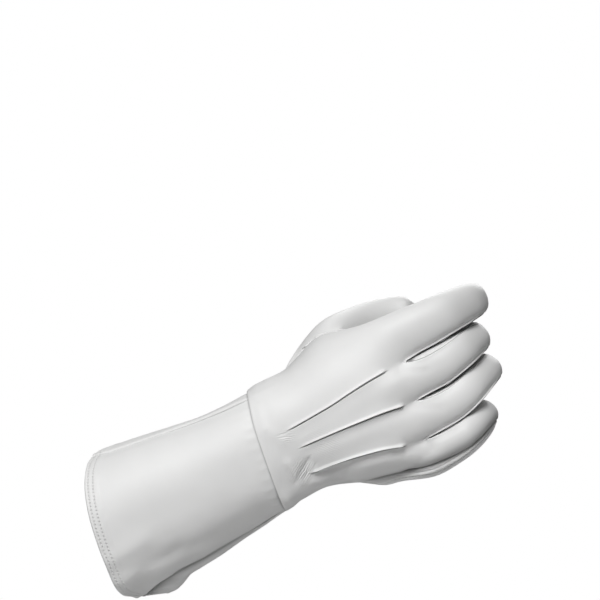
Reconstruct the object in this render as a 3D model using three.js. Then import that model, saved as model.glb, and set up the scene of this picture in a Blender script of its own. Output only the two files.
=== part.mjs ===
// A right-hand leather gauntlet glove, kept in the curled, gripping form that it is worn in.
// Millimetres. +X runs from the cuff's mouth along the forearm to the fingers, the back of the
// hand faces -Y and the thumb side is up. The origin is at the centre of the cuff's mouth.
// Every piece is a leather sheet cut to shape: its outer face is worked out from the tables
// below, and its inner face lies one leather thickness further in.

import * as THREE from 'three';

const LEATHER = 1.2;
const SEAM_GAP = 0.36;
const SHARPEST_MITER = 0.6;
const SECTION_POWER = 2.3;     // 2 is an ellipse, more is squarer

const whiteLeather = { color: 0xdcdcdc, roughness: 0.52, metalness: 0 };

// The gauntlet, from hem to wrist: its outline's top and low edges, where its widest line lies
// between back and palm, how far those two stand out, and the heights of its two side seams.
const GAUNTLET = [
  { along: 0.00, top: 42, low: -52.6, middle: 3, back: -41, palm: 44, seamTop: 41, seamLow: -47 },
  { along: 0.10, top: 41.2, low: -53.4, middle: 2, back: -41, palm: 42.5, seamTop: 39.4, seamLow: -46.8 },
  { along: 0.20, top: 40.3, low: -50.2, middle: 1, back: -41, palm: 40, seamTop: 38.2, seamLow: -45.8 },
  { along: 0.32, top: 39, low: -46.9, middle: -1, back: -41.2, palm: 36.5, seamTop: 37, seamLow: -44 },
  { along: 0.46, top: 37.4, low: -45.6, middle: -3, back: -41.5, palm: 33, seamTop: 35.5, seamLow: -42.3 },
  { along: 0.64, top: 35.6, low: -42.4, middle: -6, back: -41.5, palm: 27, seamTop: 33.8, seamLow: -39.6 },
  { along: 0.80, top: 35.6, low: -40, middle: -9, back: -41.6, palm: 21, seamTop: 33, seamLow: -37.5 },
  { along: 0.90, top: 36.2, low: -38, middle: -11, back: -41.5, palm: 17.4, seamTop: 33, seamLow: -35.8 },
  { along: 0.95, top: 36.5, low: -35.1, middle: -12, back: -41.2, palm: 15.7, seamTop: 33, seamLow: -33.6 },
  { along: 1.00, top: 36.5, low: -35, middle: -12, back: -41.2, palm: 15.7, seamTop: 33, seamLow: -33.6 },
];
const GAUNTLET_STATIONS = [0, 0.08, 0.095, 0.19, 0.3, 0.42, 0.55, 0.68, 0.8, 0.9, 0.95, 1];
const GAUNTLET_COLUMNS = 16;
const HEM = { x: 9, leanY: 0.4, leanZ: 0.1, stations: 2, thick: 2.2 };
const PALM_HEM = { shorter: 11, topRamp: 2.5, lowRamp: 14 };   // the palm's hem is cut back
const WRIST = { x: 105, leanY: 0.06, leanZ: 0.11, middle: -12 };
const TUCK = 4;                // the gauntlet reaches this far under the edge of the hand
const SEAM_VALLEY = { top: 0.7, low: 3.2, spread: 0.16, endsAt: 0.9 };

// The hand, from the wrist seam to the webs: the heights of its two side seams, how deep each
// lies, and where its back and palm are. On the thumb side it widens into the thumb's web.
const HAND = [
  { x: 98, top: 38.3, low: -36.9, topSeam: -12, lowSeam: -12, back: -43, palm: 17.5 },
  { x: 106, top: 38.3, low: -36.9, topSeam: -12, lowSeam: -12, back: -43, palm: 17.5 },
  { x: 112, top: 38.4, low: -35.2, topSeam: -12, lowSeam: -12, back: -43.3, palm: 17.4 },
  { x: 120, top: 39.6, low: -34, topSeam: -11.5, lowSeam: -12, back: -43.7, palm: 15.9 },
  { x: 128, top: 39.4, low: -33.9, topSeam: -10, lowSeam: -12, back: -43.5, palm: 13 },
  { x: 136, top: 39.9, low: -35.2, topSeam: -8, lowSeam: -12.5, back: -43.2, palm: 10.5 },
  { x: 142, top: 42, low: -37.1, topSeam: -6, lowSeam: -13, back: -43, palm: 8.8 },
  { x: 150, top: 45.2, low: -39.8, topSeam: -4, lowSeam: -14.2, back: -43, palm: 7 },
  { x: 158, top: 48.6, low: -41.3, topSeam: -4, lowSeam: -16, back: -43, palm: 5 },
  { x: 166, top: 49.6, low: -42.7, topSeam: -7, lowSeam: -17.6, back: -43, palm: 2.5 },
  { x: 176, top: 47.6, low: -44.8, topSeam: -15, lowSeam: -19.6, back: -42.5, palm: -5 },
  { x: 186, top: 46, low: -46.6, topSeam: -21, lowSeam: -21, back: -42, palm: -10 },
  { x: 206, top: 45, low: -49, topSeam: -23, lowSeam: -23, back: -40, palm: -14 },
];
const HAND_ROWS = 11;

// The three raised points. Each runs from the wrist to the slit between two fingers.
const POINTS = [
  { wristZ: 5.4, webZ: 15.3, webX: 205, bow: 1.3, startX: 118, endX: 195 },
  { wristZ: -6, webZ: -8.7, webX: 203, bow: 2.4, startX: 125, endX: 193 },
  { wristZ: -22, webZ: -32.6, webX: 196, bow: 2.2, startX: 126, endX: 186 },
];
const POINT_HEIGHT = 1.8;
const POINT_FADE = 9;

// The fingers: the centre of each at the web, its width and thickness there and at the tip, a
// power that is low where it narrows mostly near the web, the lengths of its three joints, how
// far each is curled, and how it leans across the hand at the web and from its middle joint on.
const FINGERS = [
  { name: 'index', x: 205, y: -27, z: 30.3, width: 28.9, thick: 23, tipWidth: 20.4, tipThick: 17.5,
    taper: 1.3, joints: [32, 24, 22], curl: [9, 42, 80], lean: [0, 2] },
  { name: 'middle', x: 203, y: -29, z: 3.3, width: 23.4, thick: 22.5, tipWidth: 19, tipThick: 17.5,
    taper: 1.6, joints: [33, 24, 23], curl: [12, 56, 98], lean: [1, 16] },
  { name: 'ring', x: 199, y: -28.5, z: -20.6, width: 23.6, thick: 21.5, tipWidth: 18.3, tipThick: 17,
    taper: 0.8, joints: [35, 24, 22], curl: [11, 50, 95], lean: [0, 23] },
  { name: 'little', x: 195, y: -26, z: -40.8, width: 16.4, thick: 20, tipWidth: 16.6, tipThick: 15.5,
    taper: 0.8, joints: [28, 18, 18], curl: [12, 46, 88], lean: [0, 24] },
];
const FINGER_ROWS = 11;
const TIP_CROWDING = 1.35;     // above 1, a finger's rows are closer together near its tip
const LEAN = { from: 10, over: 28 };
const BLEND_LENGTH = 24;       // the fingers' roundness dies away over this much of the hand
const JOINT_BEND = 9;          // half the length over which a joint bends
const TIP_LENGTH = 10;
const TIP_ROUNDING = { width: 2.6, thick: 2.4, widthLeft: 0.5 };   // powers, and the end's width
// A finger's back and palm strips reach this far round it on the thumb side and the other side.
const STRIP_REACH = { thumbSide: 56, farSide: 66 };
const WEB_PULL = { length: 10, power: 4 };
const CROTCH_DEPTH = 7;
const FOURCHETTE_COLUMNS = 3;

// The palm piece stands out below the little-finger seam in a soft roll. Its size is given at
// places along the hand and then along the little finger, and it reaches this far across.
const PALM_ROLL = [
  { place: 146, size: 0 },
  { place: 154, size: 3.4 },
  { place: 163, size: 7.4 },
  { place: 173, size: 7.1 },
  { place: 184, size: 6.4 },
  { place: 198, size: 7.2 },
  { place: 210, size: 6 },
  { place: 221, size: 4.7 },
  { place: 238, size: 3.8 },
  { place: 248, size: 2.5 },
  { place: 256, size: 0.8 },
  { place: 259, size: 0 },
];
const ROLL_REACH = 1.3;

// A finger's strips have narrow columns at their edges, where the points and the seams are.
const STRIP_COLUMNS = [-1, -0.82, -0.44, 0, 0.44, 0.82, 1];

// The thumb: its centre line and its size across, from the hole in the palm to the tip.
const THUMB = [
  { x: 152, y: 0, z: 27, width: 40, thick: 34 },
  { x: 162, y: 10, z: 38, width: 33, thick: 29 },
  { x: 172, y: 22, z: 44.2, width: 27, thick: 25 },
  { x: 182, y: 34, z: 45.7, width: 24.5, thick: 23 },
  { x: 194, y: 45, z: 45, width: 24, thick: 21.5 },
  { x: 208, y: 52.5, z: 42.5, width: 23.5, thick: 20 },
  { x: 223, y: 55, z: 38.5, width: 21, thick: 17.5 },
];
const THUMB_ROWS = 12;
const THUMB_TIP = { length: 10, end: 0.98, crowding: 1.25 };
const THUMB_LENGTH_SHARE = 1.12;   // its curved centre line is this much longer than its chord
const THUMB_BLEND = 0.34;
const THUMB_HOLE = { firstRow: 3, lastRow: 8, firstColumn: 1, lastColumn: 6 };

const lerp = THREE.MathUtils.lerp;
const clamp01 = (value) => THREE.MathUtils.clamp(value, 0, 1);
const radians = THREE.MathUtils.degToRad;
const vector = (x, y, z) => new THREE.Vector3(x, y, z);

function smooth(value) {
  const t = clamp01(value);
  return t * t * (3 - 2 * t);
}

// A sine or cosine for a squared-off ellipse, and the turn that gives a share of its height.
function bent(value) {
  return Math.sign(value) * Math.abs(value) ** (2 / SECTION_POWER);
}

function turnFor(share) {
  return Math.acos(Math.sign(share) * Math.abs(share) ** (SECTION_POWER / 2));
}

function hermite(start, end, startSlope, endSlope, t) {
  const t2 = t * t;
  const t3 = t2 * t;
  return (2 * t3 - 3 * t2 + 1) * start + (t3 - 2 * t2 + t) * startSlope
    + (3 * t2 - 2 * t3) * end + (t3 - t2) * endSlope;
}

// A table's row at any place between its rows, by a smooth curve through each column.
function rowAt(table, key, place) {
  let i = 0;
  while (i < table.length - 2 && place > table[i + 1][key]) i += 1;
  const before = table[Math.max(i - 1, 0)];
  const start = table[i];
  const end = table[i + 1];
  const after = table[Math.min(i + 2, table.length - 1)];
  const length = end[key] - start[key];
  const t = clamp01((place - start[key]) / length);
  const row = {};
  for (const column of Object.keys(start)) {
    const startSlope = ((end[column] - before[column]) / (end[key] - before[key])) * length;
    const endSlope = ((after[column] - start[column]) / (after[key] - start[key])) * length;
    row[column] = hermite(start[column], end[column], startSlope, endSlope, t);
  }
  return row;
}

// A sheet holds corner points and the faces between them, seen from outside. Corners in the
// same place are one corner, so pieces that meet at a seam share them.
class Sheet {
  constructor() {
    this.points = [];
    this.faces = [];
    this.index = new Map();
  }

  corner(point) {
    const key = point.toArray().map((value) => Math.round(value * 1000)).join();
    if (!this.index.has(key)) {
      this.index.set(key, this.points.length);
      this.points.push(point.clone());
    }
    return this.index.get(key);
  }

  grid(piece, rows, flip = false, isHole = () => false) {
    for (let r = 0; r + 1 < rows.length; r += 1) {
      for (let c = 0; c + 1 < rows[r].length; c += 1) {
        if (isHole(r, c)) continue;
        const loop = [rows[r][c], rows[r][c + 1], rows[r + 1][c + 1], rows[r + 1][c]];
        this.face(piece, flip ? loop.reverse() : loop);
      }
    }
  }

  face(piece, loop) {
    const corners = loop.map((point) => this.corner(point));
    const kept = corners.filter((corner, i) => corner !== corners[(i + 1) % corners.length]);
    if (kept.length > 2) this.faces.push({ piece, corners: kept });
  }

  faceNormal(corners) {
    const [first, ...rest] = corners.map((corner) => this.points[corner]);
    const normal = vector(0, 0, 0);
    for (let i = 0; i + 1 < rest.length; i += 1) {
      normal.add(rest[i].clone().sub(first).cross(rest[i + 1].clone().sub(first)));
    }
    return normal;
  }

  cornerNormals() {
    const normals = this.points.map(() => vector(0, 0, 0));
    for (const { corners } of this.faces) {
      const normal = this.faceNormal(corners).normalize();
      for (const corner of corners) normals[corner].add(normal);
    }
    return normals.map((normal) => normal.normalize());
  }

  // The open edges of one piece, each with the direction that leads into the piece.
  rim(piece) {
    const edges = new Map();
    for (const face of this.faces.filter((one) => one.piece === piece)) {
      const { corners } = face;
      corners.forEach((from, i) => {
        edges.set(`${from},${corners[(i + 1) % corners.length]}`, face);
      });
    }
    const open = [];
    for (const [edge, face] of edges) {
      const [from, to] = edge.split(',').map(Number);
      if (edges.has(`${to},${from}`)) continue;
      const direction = this.points[to].clone().sub(this.points[from]).normalize();
      const inward = this.faceNormal(face.corners).normalize().cross(direction).normalize();
      open.push({ from, to, inward });
    }
    return open;
  }
}

// One leather piece: its outer side, drawn back from its edges by half a seam gap, an inner
// side one thickness further in, and a rim that closes the edges.
function leatherPiece(sheet, piece, thickCorners = new Set()) {
  const normals = sheet.cornerNormals();
  const faces = sheet.faces.filter((face) => face.piece === piece);
  const rim = sheet.rim(piece);
  const pulls = new Map();
  for (const { from, to, inward } of rim) {
    for (const corner of [from, to]) {
      pulls.set(corner, (pulls.get(corner) ?? vector(0, 0, 0)).add(inward));
    }
  }
  const place = new Map();
  const positions = [];
  for (const corner of new Set(faces.flatMap((face) => face.corners))) {
    const outer = sheet.points[corner].clone();
    if (pulls.has(corner)) {
      const pull = pulls.get(corner);
      const miter = Math.max(pull.length() / 2, SHARPEST_MITER);
      outer.add(pull.setLength(SEAM_GAP / 2 / miter));
    }
    const thickness = thickCorners.has(corner) ? HEM.thick : LEATHER;
    const inner = outer.clone().addScaledVector(normals[corner], -thickness);
    place.set(corner, positions.length / 3);
    positions.push(...outer.toArray(), ...inner.toArray());
  }
  const triangles = [];
  for (const { corners } of faces) {
    for (let i = 1; i + 1 < corners.length; i += 1) {
      const [a, b, c] = [corners[0], corners[i], corners[i + 1]].map((corner) => place.get(corner));
      triangles.push(a, b, c, a + 1, c + 1, b + 1);
    }
  }
  // Two pieces that meet at a seam divide the faces of their rims along the same diagonal.
  for (const { from, to } of rim) {
    const [a, b] = [place.get(from), place.get(to)];
    if (from < to) triangles.push(b, a, a + 1, b, a + 1, b + 1);
    else triangles.push(b, a, b + 1, a, a + 1, b + 1);
  }
  const geometry = new THREE.BufferGeometry();
  geometry.setAttribute('position', new THREE.Float32BufferAttribute(positions, 3));
  geometry.setIndex(triangles);
  geometry.computeVertexNormals();
  const mesh = new THREE.Mesh(geometry, new THREE.MeshStandardMaterial(whiteLeather));
  mesh.name = piece;
  return mesh;
}

// Gauntlet

function hemX(point) {
  return HEM.x + HEM.leanY * point.y + HEM.leanZ * point.z;
}

function wristX(point) {
  return WRIST.x + WRIST.leanY * (point.y - WRIST.middle) + WRIST.leanZ * point.z;
}

// The turns at which a ring's two side seams lie. Turn 0 is the thumb side, and half a turn
// later, over the back of the hand, is the little-finger side.
function seamTurns(row) {
  const middle = (row.top + row.low) / 2;
  const half = (row.top - row.low) / 2;
  return [turnFor((row.seamTop - middle) / half), turnFor((row.seamLow - middle) / half)];
}

function gauntletPoint(row, turn) {
  const half = (row.top - row.low) / 2;
  const depth = Math.sin(turn) > 0 ? row.back - row.middle : row.palm - row.middle;
  const fade = 1 - smooth(row.along / SEAM_VALLEY.endsAt);
  const valley = (seam, size) => {
    const away = Math.atan2(Math.sin(turn - seam), Math.cos(turn - seam));
    return (size * fade * Math.exp(-((away / SEAM_VALLEY.spread) ** 2))) / half;
  };
  const [topSeam, lowSeam] = seamTurns(row);
  const shrink = 1 - valley(topSeam, SEAM_VALLEY.top) - valley(lowSeam, SEAM_VALLEY.low);
  return vector(0, row.middle + depth * shrink * Math.abs(bent(Math.sin(turn))),
    (row.top + row.low) / 2 + half * shrink * bent(Math.cos(turn)));
}

function gauntletRing(along) {
  const row = rowAt(GAUNTLET, 'along', along);
  const [topSeam, lowSeam] = seamTurns(row);
  const ring = { back: [], palm: [] };
  for (let i = 0; i <= GAUNTLET_COLUMNS; i += 1) {
    const share = i / GAUNTLET_COLUMNS;
    const back = gauntletPoint(row, lerp(topSeam, lowSeam, share));
    const palm = gauntletPoint(row, lerp(topSeam, lowSeam - 2 * Math.PI, share));
    const cutBack = smooth(PALM_HEM.topRamp * share) * smooth(PALM_HEM.lowRamp * (1 - share));
    ring.back.push(back.setX(lerp(hemX(back), wristX(back) + TUCK, along)));
    ring.palm.push(palm.setX(lerp(hemX(palm) + PALM_HEM.shorter * cutBack, wristX(palm) + TUCK, along)));
  }
  return ring;
}

const gauntlet = new Sheet();
const gauntletRings = GAUNTLET_STATIONS.map(gauntletRing);
gauntlet.grid('gauntlet_back', gauntletRings.map((ring) => ring.back));
gauntlet.grid('gauntlet_palm', gauntletRings.map((ring) => ring.palm), true);
const hemRings = gauntletRings.slice(0, HEM.stations);
const hemPoints = hemRings.flatMap((ring) => [...ring.back, ...ring.palm]);
const hemCorners = new Set(hemPoints.map((point) => gauntlet.corner(point)));

// Fingers

function leanAt(finger, s) {
  return radians(lerp(...finger.lean, smooth((s - LEAN.from) / LEAN.over)));
}

function fingerDirection(finger, s) {
  const [first, second] = finger.joints;
  const [base, middle, end] = finger.curl;
  const bend = (joint) => smooth((s - joint + JOINT_BEND) / (2 * JOINT_BEND));
  const curl = radians(base + (middle - base) * bend(first) + (end - middle) * bend(first + second));
  const lean = leanAt(finger, s);
  return vector(Math.cos(curl) * Math.cos(lean), Math.sin(curl), Math.cos(curl) * Math.sin(lean));
}

// A finger's centre line bends at its two joints, in steps of a millimetre from the web.
function fingerCourse(finger) {
  const length = finger.joints.reduce((sum, joint) => sum + joint, 0);
  const steps = [vector(finger.x, finger.y, finger.z)];
  for (let s = 0; s < length; s += 1) {
    steps.push(steps[s].clone().add(fingerDirection(finger, s + 0.5)));
  }
  return { finger, length, steps };
}

// The shares of a finger's width and thickness that are left at a share of the way along its tip.
function tipWidth(tip) {
  return 1 - (1 - TIP_ROUNDING.widthLeft) * tip ** TIP_ROUNDING.width;
}

function tipThickness(tip) {
  return Math.sqrt(1 - tip ** TIP_ROUNDING.thick);
}

// The point of a finger's skin s mm past the web, at an angle round it: 0 is its back, 90 its
// thumb side and 180 its palm side.
function fingerPoint(course, s, angle) {
  const { finger, length, steps } = course;
  const whole = THREE.MathUtils.clamp(Math.floor(s), 0, length - 1);
  const along = fingerDirection(finger, Math.max(s, 0));
  const centre = s < 0
    ? steps[0].clone().addScaledVector(along, s)
    : steps[whole].clone().lerp(steps[whole + 1], s - whole);
  const lean = leanAt(finger, s);
  const side = vector(-Math.sin(lean), 0, Math.cos(lean));
  const backward = along.clone().cross(side);
  const taper = clamp01(s / (length - TIP_LENGTH)) ** finger.taper;
  const tip = clamp01((s - length + TIP_LENGTH) / TIP_LENGTH);
  const width = lerp(finger.width, finger.tipWidth, taper) * tipWidth(tip);
  const thick = lerp(finger.thick, finger.tipThick, taper) * tipThickness(tip);
  const turn = radians(angle);
  return centre
    .addScaledVector(side, (width / 2) * bent(Math.sin(turn)))
    .addScaledVector(backward, (thick / 2) * bent(Math.cos(turn)));
}

const courses = FINGERS.map(fingerCourse);
const LAST = courses.length - 1;

// How far round a finger its back strip (side 1) or its palm strip (side -1) reaches.
function edgeAngle(finger, s, edge, side) {
  const outer = (finger === 0 && edge < 0) || (finger === LAST && edge > 0);
  const tip = smooth((s - courses[finger].length + 2 * TIP_LENGTH) / (2 * TIP_LENGTH));
  const inner = edge < 0 ? STRIP_REACH.thumbSide : STRIP_REACH.farSide;
  const reach = outer ? 90 : lerp(inner, 90, tip);
  return side > 0 ? -edge * reach : -edge * (180 - reach);
}

function stripPoint(finger, q, s, side) {
  const first = edgeAngle(finger, s, -1, side);
  const last = edgeAngle(finger, s, 1, side);
  const angle = lerp(first, side > 0 ? last : last + 360, (q + 1) / 2);
  return fingerPoint(courses[finger], s, angle).add(webPull(finger, q, s, side));
}

// Beside the web, the edges of two fingers' strips are drawn together to meet there.
function webPull(finger, q, s, side) {
  const neighbour = q < 0 ? finger - 1 : finger + 1;
  if (neighbour < 0 || neighbour > LAST) return vector(0, 0, 0);
  const edge = Math.sign(q);
  const mine = fingerPoint(courses[finger], 0, edgeAngle(finger, 0, edge, side));
  const other = fingerPoint(courses[neighbour], 0, edgeAngle(neighbour, 0, -edge, side));
  const pull = other.sub(mine).multiplyScalar(0.5);
  return pull.multiplyScalar(Math.abs(q) ** WEB_PULL.power * (1 - smooth(s / WEB_PULL.length)));
}

// Hand

// Where the border between two fingers' bands crosses the hand, as a turn across its back.
function borderTurn(row, border, x) {
  if (border === 0) return 0;
  if (border > POINTS.length) return Math.PI;
  const point = POINTS[border - 1];
  const share = clamp01((x - WRIST.x) / (point.webX - WRIST.x));
  const z = lerp(point.wristZ, point.webZ, share ** point.bow);
  return turnFor((z - (row.top + row.low) / 2) / ((row.top - row.low) / 2));
}

function webX(finger, q) {
  const borders = [FINGERS[0].x + 1, ...POINTS.map((point) => point.webX), FINGERS[LAST].x];
  return lerp(borders[finger], borders[finger + 1], (q + 1) / 2);
}

function bodyPoint(finger, q, x, side) {
  const row = rowAt(HAND, 'x', x);
  const turn = lerp(borderTurn(row, finger, x), borderTurn(row, finger + 1, x), (q + 1) / 2);
  const z = (row.top + row.low) / 2 + ((row.top - row.low) / 2) * bent(Math.cos(turn));
  const seam = lerp(row.lowSeam, row.topSeam, (1 + bent(Math.cos(turn))) / 2);
  const depth = side > 0 ? row.back - seam : row.palm - seam;
  return vector(x, seam + depth * bent(Math.sin(turn)), z);
}

function handPoint(finger, q, v, side) {
  const x = lerp(wristX(bodyPoint(finger, q, WRIST.x, side)), webX(finger, q), v);
  const s = x - webX(finger, q);
  const tube = stripPoint(finger, q, s, side);
  const point = bodyPoint(finger, q, x, side).lerp(tube, smooth(1 + s / BLEND_LENGTH));
  if (side > 0) point.y -= pointHeight(finger, q, x);
  return point;
}

function pointHeight(finger, q, x) {
  const border = q < 0 ? finger : finger + 1;
  if (Math.abs(q) < 1 || border === 0 || border > POINTS.length) return 0;
  const { startX, endX } = POINTS[border - 1];
  return POINT_HEIGHT * smooth((x - startX) / POINT_FADE) * smooth((endX - x) / POINT_FADE);
}

function rollPalm(point, q, place) {
  if (place <= PALM_ROLL[0].place) return;
  const across = Math.sin(Math.PI * clamp01((1 - q) / ROLL_REACH));
  point.z -= rowAt(PALM_ROLL, 'place', place).size * across;
}

function fingerStations(length) {
  const stations = [];
  for (let r = 1; r <= FINGER_ROWS; r += 1) {
    stations.push(length * (1 - (1 - r / FINGER_ROWS) ** TIP_CROWDING));
  }
  return stations;
}

// The rows of one finger's band, from the wrist to its tip.
function bandRows(finger, side) {
  const rows = [];
  for (let r = 0; r <= HAND_ROWS; r += 1) {
    rows.push(STRIP_COLUMNS.map((q) => handPoint(finger, q, r / HAND_ROWS, side)));
  }
  const stations = fingerStations(courses[finger].length);
  for (const s of stations) {
    rows.push(STRIP_COLUMNS.map((q) => stripPoint(finger, q, s, side)));
  }
  if (side < 0 && finger === LAST) {
    rows.forEach((row, r) => {
      const onFinger = r > HAND_ROWS && FINGERS[LAST].x + stations[r - HAND_ROWS - 1];
      row.forEach((point, c) => rollPalm(point, STRIP_COLUMNS[c], onFinger || point.x));
    });
  }
  return rows;
}

// Up to the web, the bands of two fingers meet at a border with the same corners.
function joinBorders(bands) {
  for (let finger = 0; finger < LAST; finger += 1) {
    for (let r = 0; r <= HAND_ROWS; r += 1) {
      const mine = bands[finger][r].at(-1);
      const next = bands[finger + 1][r][0];
      next.copy(mine.lerp(next, 0.5));
    }
  }
}

const hand = new Sheet();
const backBands = courses.map((course, finger) => bandRows(finger, 1));
const palmBands = courses.map((course, finger) => bandRows(finger, -1));
joinBorders(backBands);
joinBorders(palmBands);
for (const rows of backBands) hand.grid('hand_back', rows);

const { firstRow, lastRow, firstColumn, lastColumn } = THUMB_HOLE;
const inThumbHole = (r, c) => r >= firstRow && r < lastRow && c >= firstColumn && c < lastColumn;
palmBands.forEach((rows, finger) => {
  hand.grid('hand_palm', rows, true, (r, c) => finger === 0 && inThumbHole(r, c));
});

// Fourchettes: each is one strip that runs down a finger's side, round the web between two
// fingers and up the side of the next.

// A point of a finger's side, from its back strip's edge (share 0) to its palm strip's (share 1).
function sidePoint(finger, edge, s, share) {
  const from = edgeAngle(finger, s, edge, 1);
  const to = edgeAngle(finger, s, edge, -1);
  return fingerPoint(courses[finger], s, lerp(from, to, share))
    .addScaledVector(webPull(finger, edge, s, 1), 1 - share)
    .addScaledVector(webPull(finger, edge, s, -1), share);
}

function fourchetteRows(finger) {
  const rows = [];
  for (let c = 0; c <= FOURCHETTE_COLUMNS; c += 1) {
    const share = c / FOURCHETTE_COLUMNS;
    const crotch = CROTCH_DEPTH * Math.sin(Math.PI * share);
    const side = (which, edge) => {
      const { length } = courses[which];
      return fingerStations(length).map((s) => {
        return sidePoint(which, edge, lerp(crotch, length, s / length), share);
      });
    };
    const web = sidePoint(finger, 1, crotch, share).lerp(sidePoint(finger + 1, -1, crotch, share), 0.5);
    rows.push([...side(finger, 1).reverse(), web, ...side(finger + 1, -1)]);
  }
  for (const row of rows) {
    row[0] = rows[0][0];
    row[row.length - 1] = rows[0].at(-1);
  }
  rows[0][FINGER_ROWS] = backBands[finger][HAND_ROWS].at(-1);
  rows[FOURCHETTE_COLUMNS][FINGER_ROWS] = palmBands[finger][HAND_ROWS].at(-1);
  return rows;
}

for (let finger = 0; finger < LAST; finger += 1) {
  const name = `fourchette_${FINGERS[finger].name}_${FINGERS[finger + 1].name}`;
  hand.grid(name, fourchetteRows(finger));
}

// Thumb

function thumbHoleLoop() {
  const rows = palmBands[0];
  const loop = [];
  for (let c = firstColumn; c < lastColumn; c += 1) loop.push(rows[firstRow][c]);
  for (let r = firstRow; r < lastRow; r += 1) loop.push(rows[r][lastColumn]);
  for (let c = lastColumn; c > firstColumn; c -= 1) loop.push(rows[lastRow][c]);
  for (let r = lastRow; r > firstRow; r -= 1) loop.push(rows[r][firstColumn]);
  return loop;
}

const SMALL_STEP = 0.03;
const thumbTable = THUMB.map((row, i) => ({ ...row, step: i / (THUMB.length - 1) }));

// The thumb's centre and its two directions across, at a step from its root (0) to its tip (1).
function thumbFrame(step) {
  const row = rowAt(thumbTable, 'step', step);
  const middle = THREE.MathUtils.clamp(step, SMALL_STEP, 1 - SMALL_STEP);
  const ahead = rowAt(thumbTable, 'step', middle + SMALL_STEP);
  const behind = rowAt(thumbTable, 'step', middle - SMALL_STEP);
  const along = vector(ahead.x - behind.x, ahead.y - behind.y, ahead.z - behind.z).normalize();
  const up = vector(0, 0, 1).addScaledVector(along, -along.z).normalize();
  return { row, centre: vector(row.x, row.y, row.z), up, across: up.clone().cross(along) };
}

// The rings of the thumb start at the edge of the hole and turn into a tube.
function thumbRings(loop) {
  const root = thumbFrame(0);
  const holeMiddle = loop.reduce((sum, point) => sum.add(point), vector(0, 0, 0));
  holeMiddle.divideScalar(loop.length);
  const turns = loop.map((point) => {
    const ray = point.clone().sub(holeMiddle);
    return Math.atan2(ray.dot(root.up), ray.dot(root.across));
  });
  const length = root.centre.distanceTo(thumbFrame(1).centre) * THUMB_LENGTH_SHARE;
  const rings = [loop];
  for (let r = 1; r <= THUMB_ROWS; r += 1) {
    const step = 1 - (1 - r / THUMB_ROWS) ** THUMB_TIP.crowding;
    const { row, centre, up, across } = thumbFrame(step);
    const tip = THUMB_TIP.end * clamp01(1 - ((1 - step) * length) / THUMB_TIP.length);
    const width = row.width * tipWidth(tip);
    const thick = row.thick * tipThickness(tip);
    rings.push(loop.map((start, i) => {
      const tube = centre.clone()
        .addScaledVector(up, (width / 2) * bent(Math.sin(turns[i])))
        .addScaledVector(across, (thick / 2) * bent(Math.cos(turns[i])));
      return start.clone().lerp(tube, smooth(step / THUMB_BLEND));
    }));
  }
  return rings;
}

const rings = thumbRings(thumbHoleLoop());
hand.grid('thumb', rings.map((ring) => [...ring, ring[0]]), true);
hand.face('thumb', [...rings.at(-1)].reverse());

// The whole glove

const glove = new THREE.Group();
for (const name of ['gauntlet_back', 'gauntlet_palm']) {
  glove.add(leatherPiece(gauntlet, name, hemCorners));
}
for (const name of new Set(hand.faces.map((face) => face.piece))) {
  glove.add(leatherPiece(hand, name));
}

export default glove;
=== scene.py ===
import math
import bpy
import numpy as np
from mathutils import Matrix, Vector


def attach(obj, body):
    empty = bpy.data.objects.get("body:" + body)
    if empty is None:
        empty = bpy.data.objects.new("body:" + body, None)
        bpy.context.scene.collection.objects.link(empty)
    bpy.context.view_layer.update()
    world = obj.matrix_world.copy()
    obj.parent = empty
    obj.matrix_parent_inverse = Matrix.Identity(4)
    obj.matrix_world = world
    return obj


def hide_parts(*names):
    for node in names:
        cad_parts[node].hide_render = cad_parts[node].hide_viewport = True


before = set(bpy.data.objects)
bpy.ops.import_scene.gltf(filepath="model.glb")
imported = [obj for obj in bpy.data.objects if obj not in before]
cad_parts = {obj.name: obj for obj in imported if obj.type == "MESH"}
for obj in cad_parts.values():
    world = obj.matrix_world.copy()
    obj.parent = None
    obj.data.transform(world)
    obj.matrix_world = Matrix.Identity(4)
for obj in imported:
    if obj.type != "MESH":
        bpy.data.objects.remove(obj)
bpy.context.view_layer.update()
scene = bpy.context.scene


# The back panel of the gauntlet, the flared cuff over the forearm. It is soft white leather,
# turned in along the hem and held there by two rows of stitches, and its long edges are sewn to
# the palm panel from inside. All lengths are in millimetres until a piece becomes a mesh.

# Rings of the gauntlet: share of the way from hem to wrist, top and low edge, depth of the sides,
# the back and the palm, and height of the thumb-side and the little-finger seam.
GAUNTLET = np.array([
    [0.00, 42.0, -54.0, 3, -41.0, 44.0, 41.0, -48.0],
    [0.10, 41.2, -53.0, 2, -41.0, 42.5, 39.4, -48.1],
    [0.20, 40.3, -48.9, 1, -41.0, 40.0, 38.2, -47.0],
    [0.32, 39.0, -47.3, -1, -41.2, 36.5, 37.0, -45.2],
    [0.46, 37.4, -45.6, -3, -41.5, 33.0, 35.5, -43.8],
    [0.64, 35.6, -42.4, -6, -41.5, 27.0, 33.8, -41.2],
    [0.80, 35.6, -40.0, -9, -41.6, 21.0, 33.0, -39.1],
    [0.90, 36.2, -38.1, -11, -41.5, 17.4, 33.0, -37.2],
    [0.95, 36.5, -37.3, -12, -41.2, 15.7, 33.0, -36.0],
    [1.00, 36.5, -36.3, -12, -41.2, 15.7, 33.0, -34.9],
])
SQUARENESS = 2.3

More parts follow.
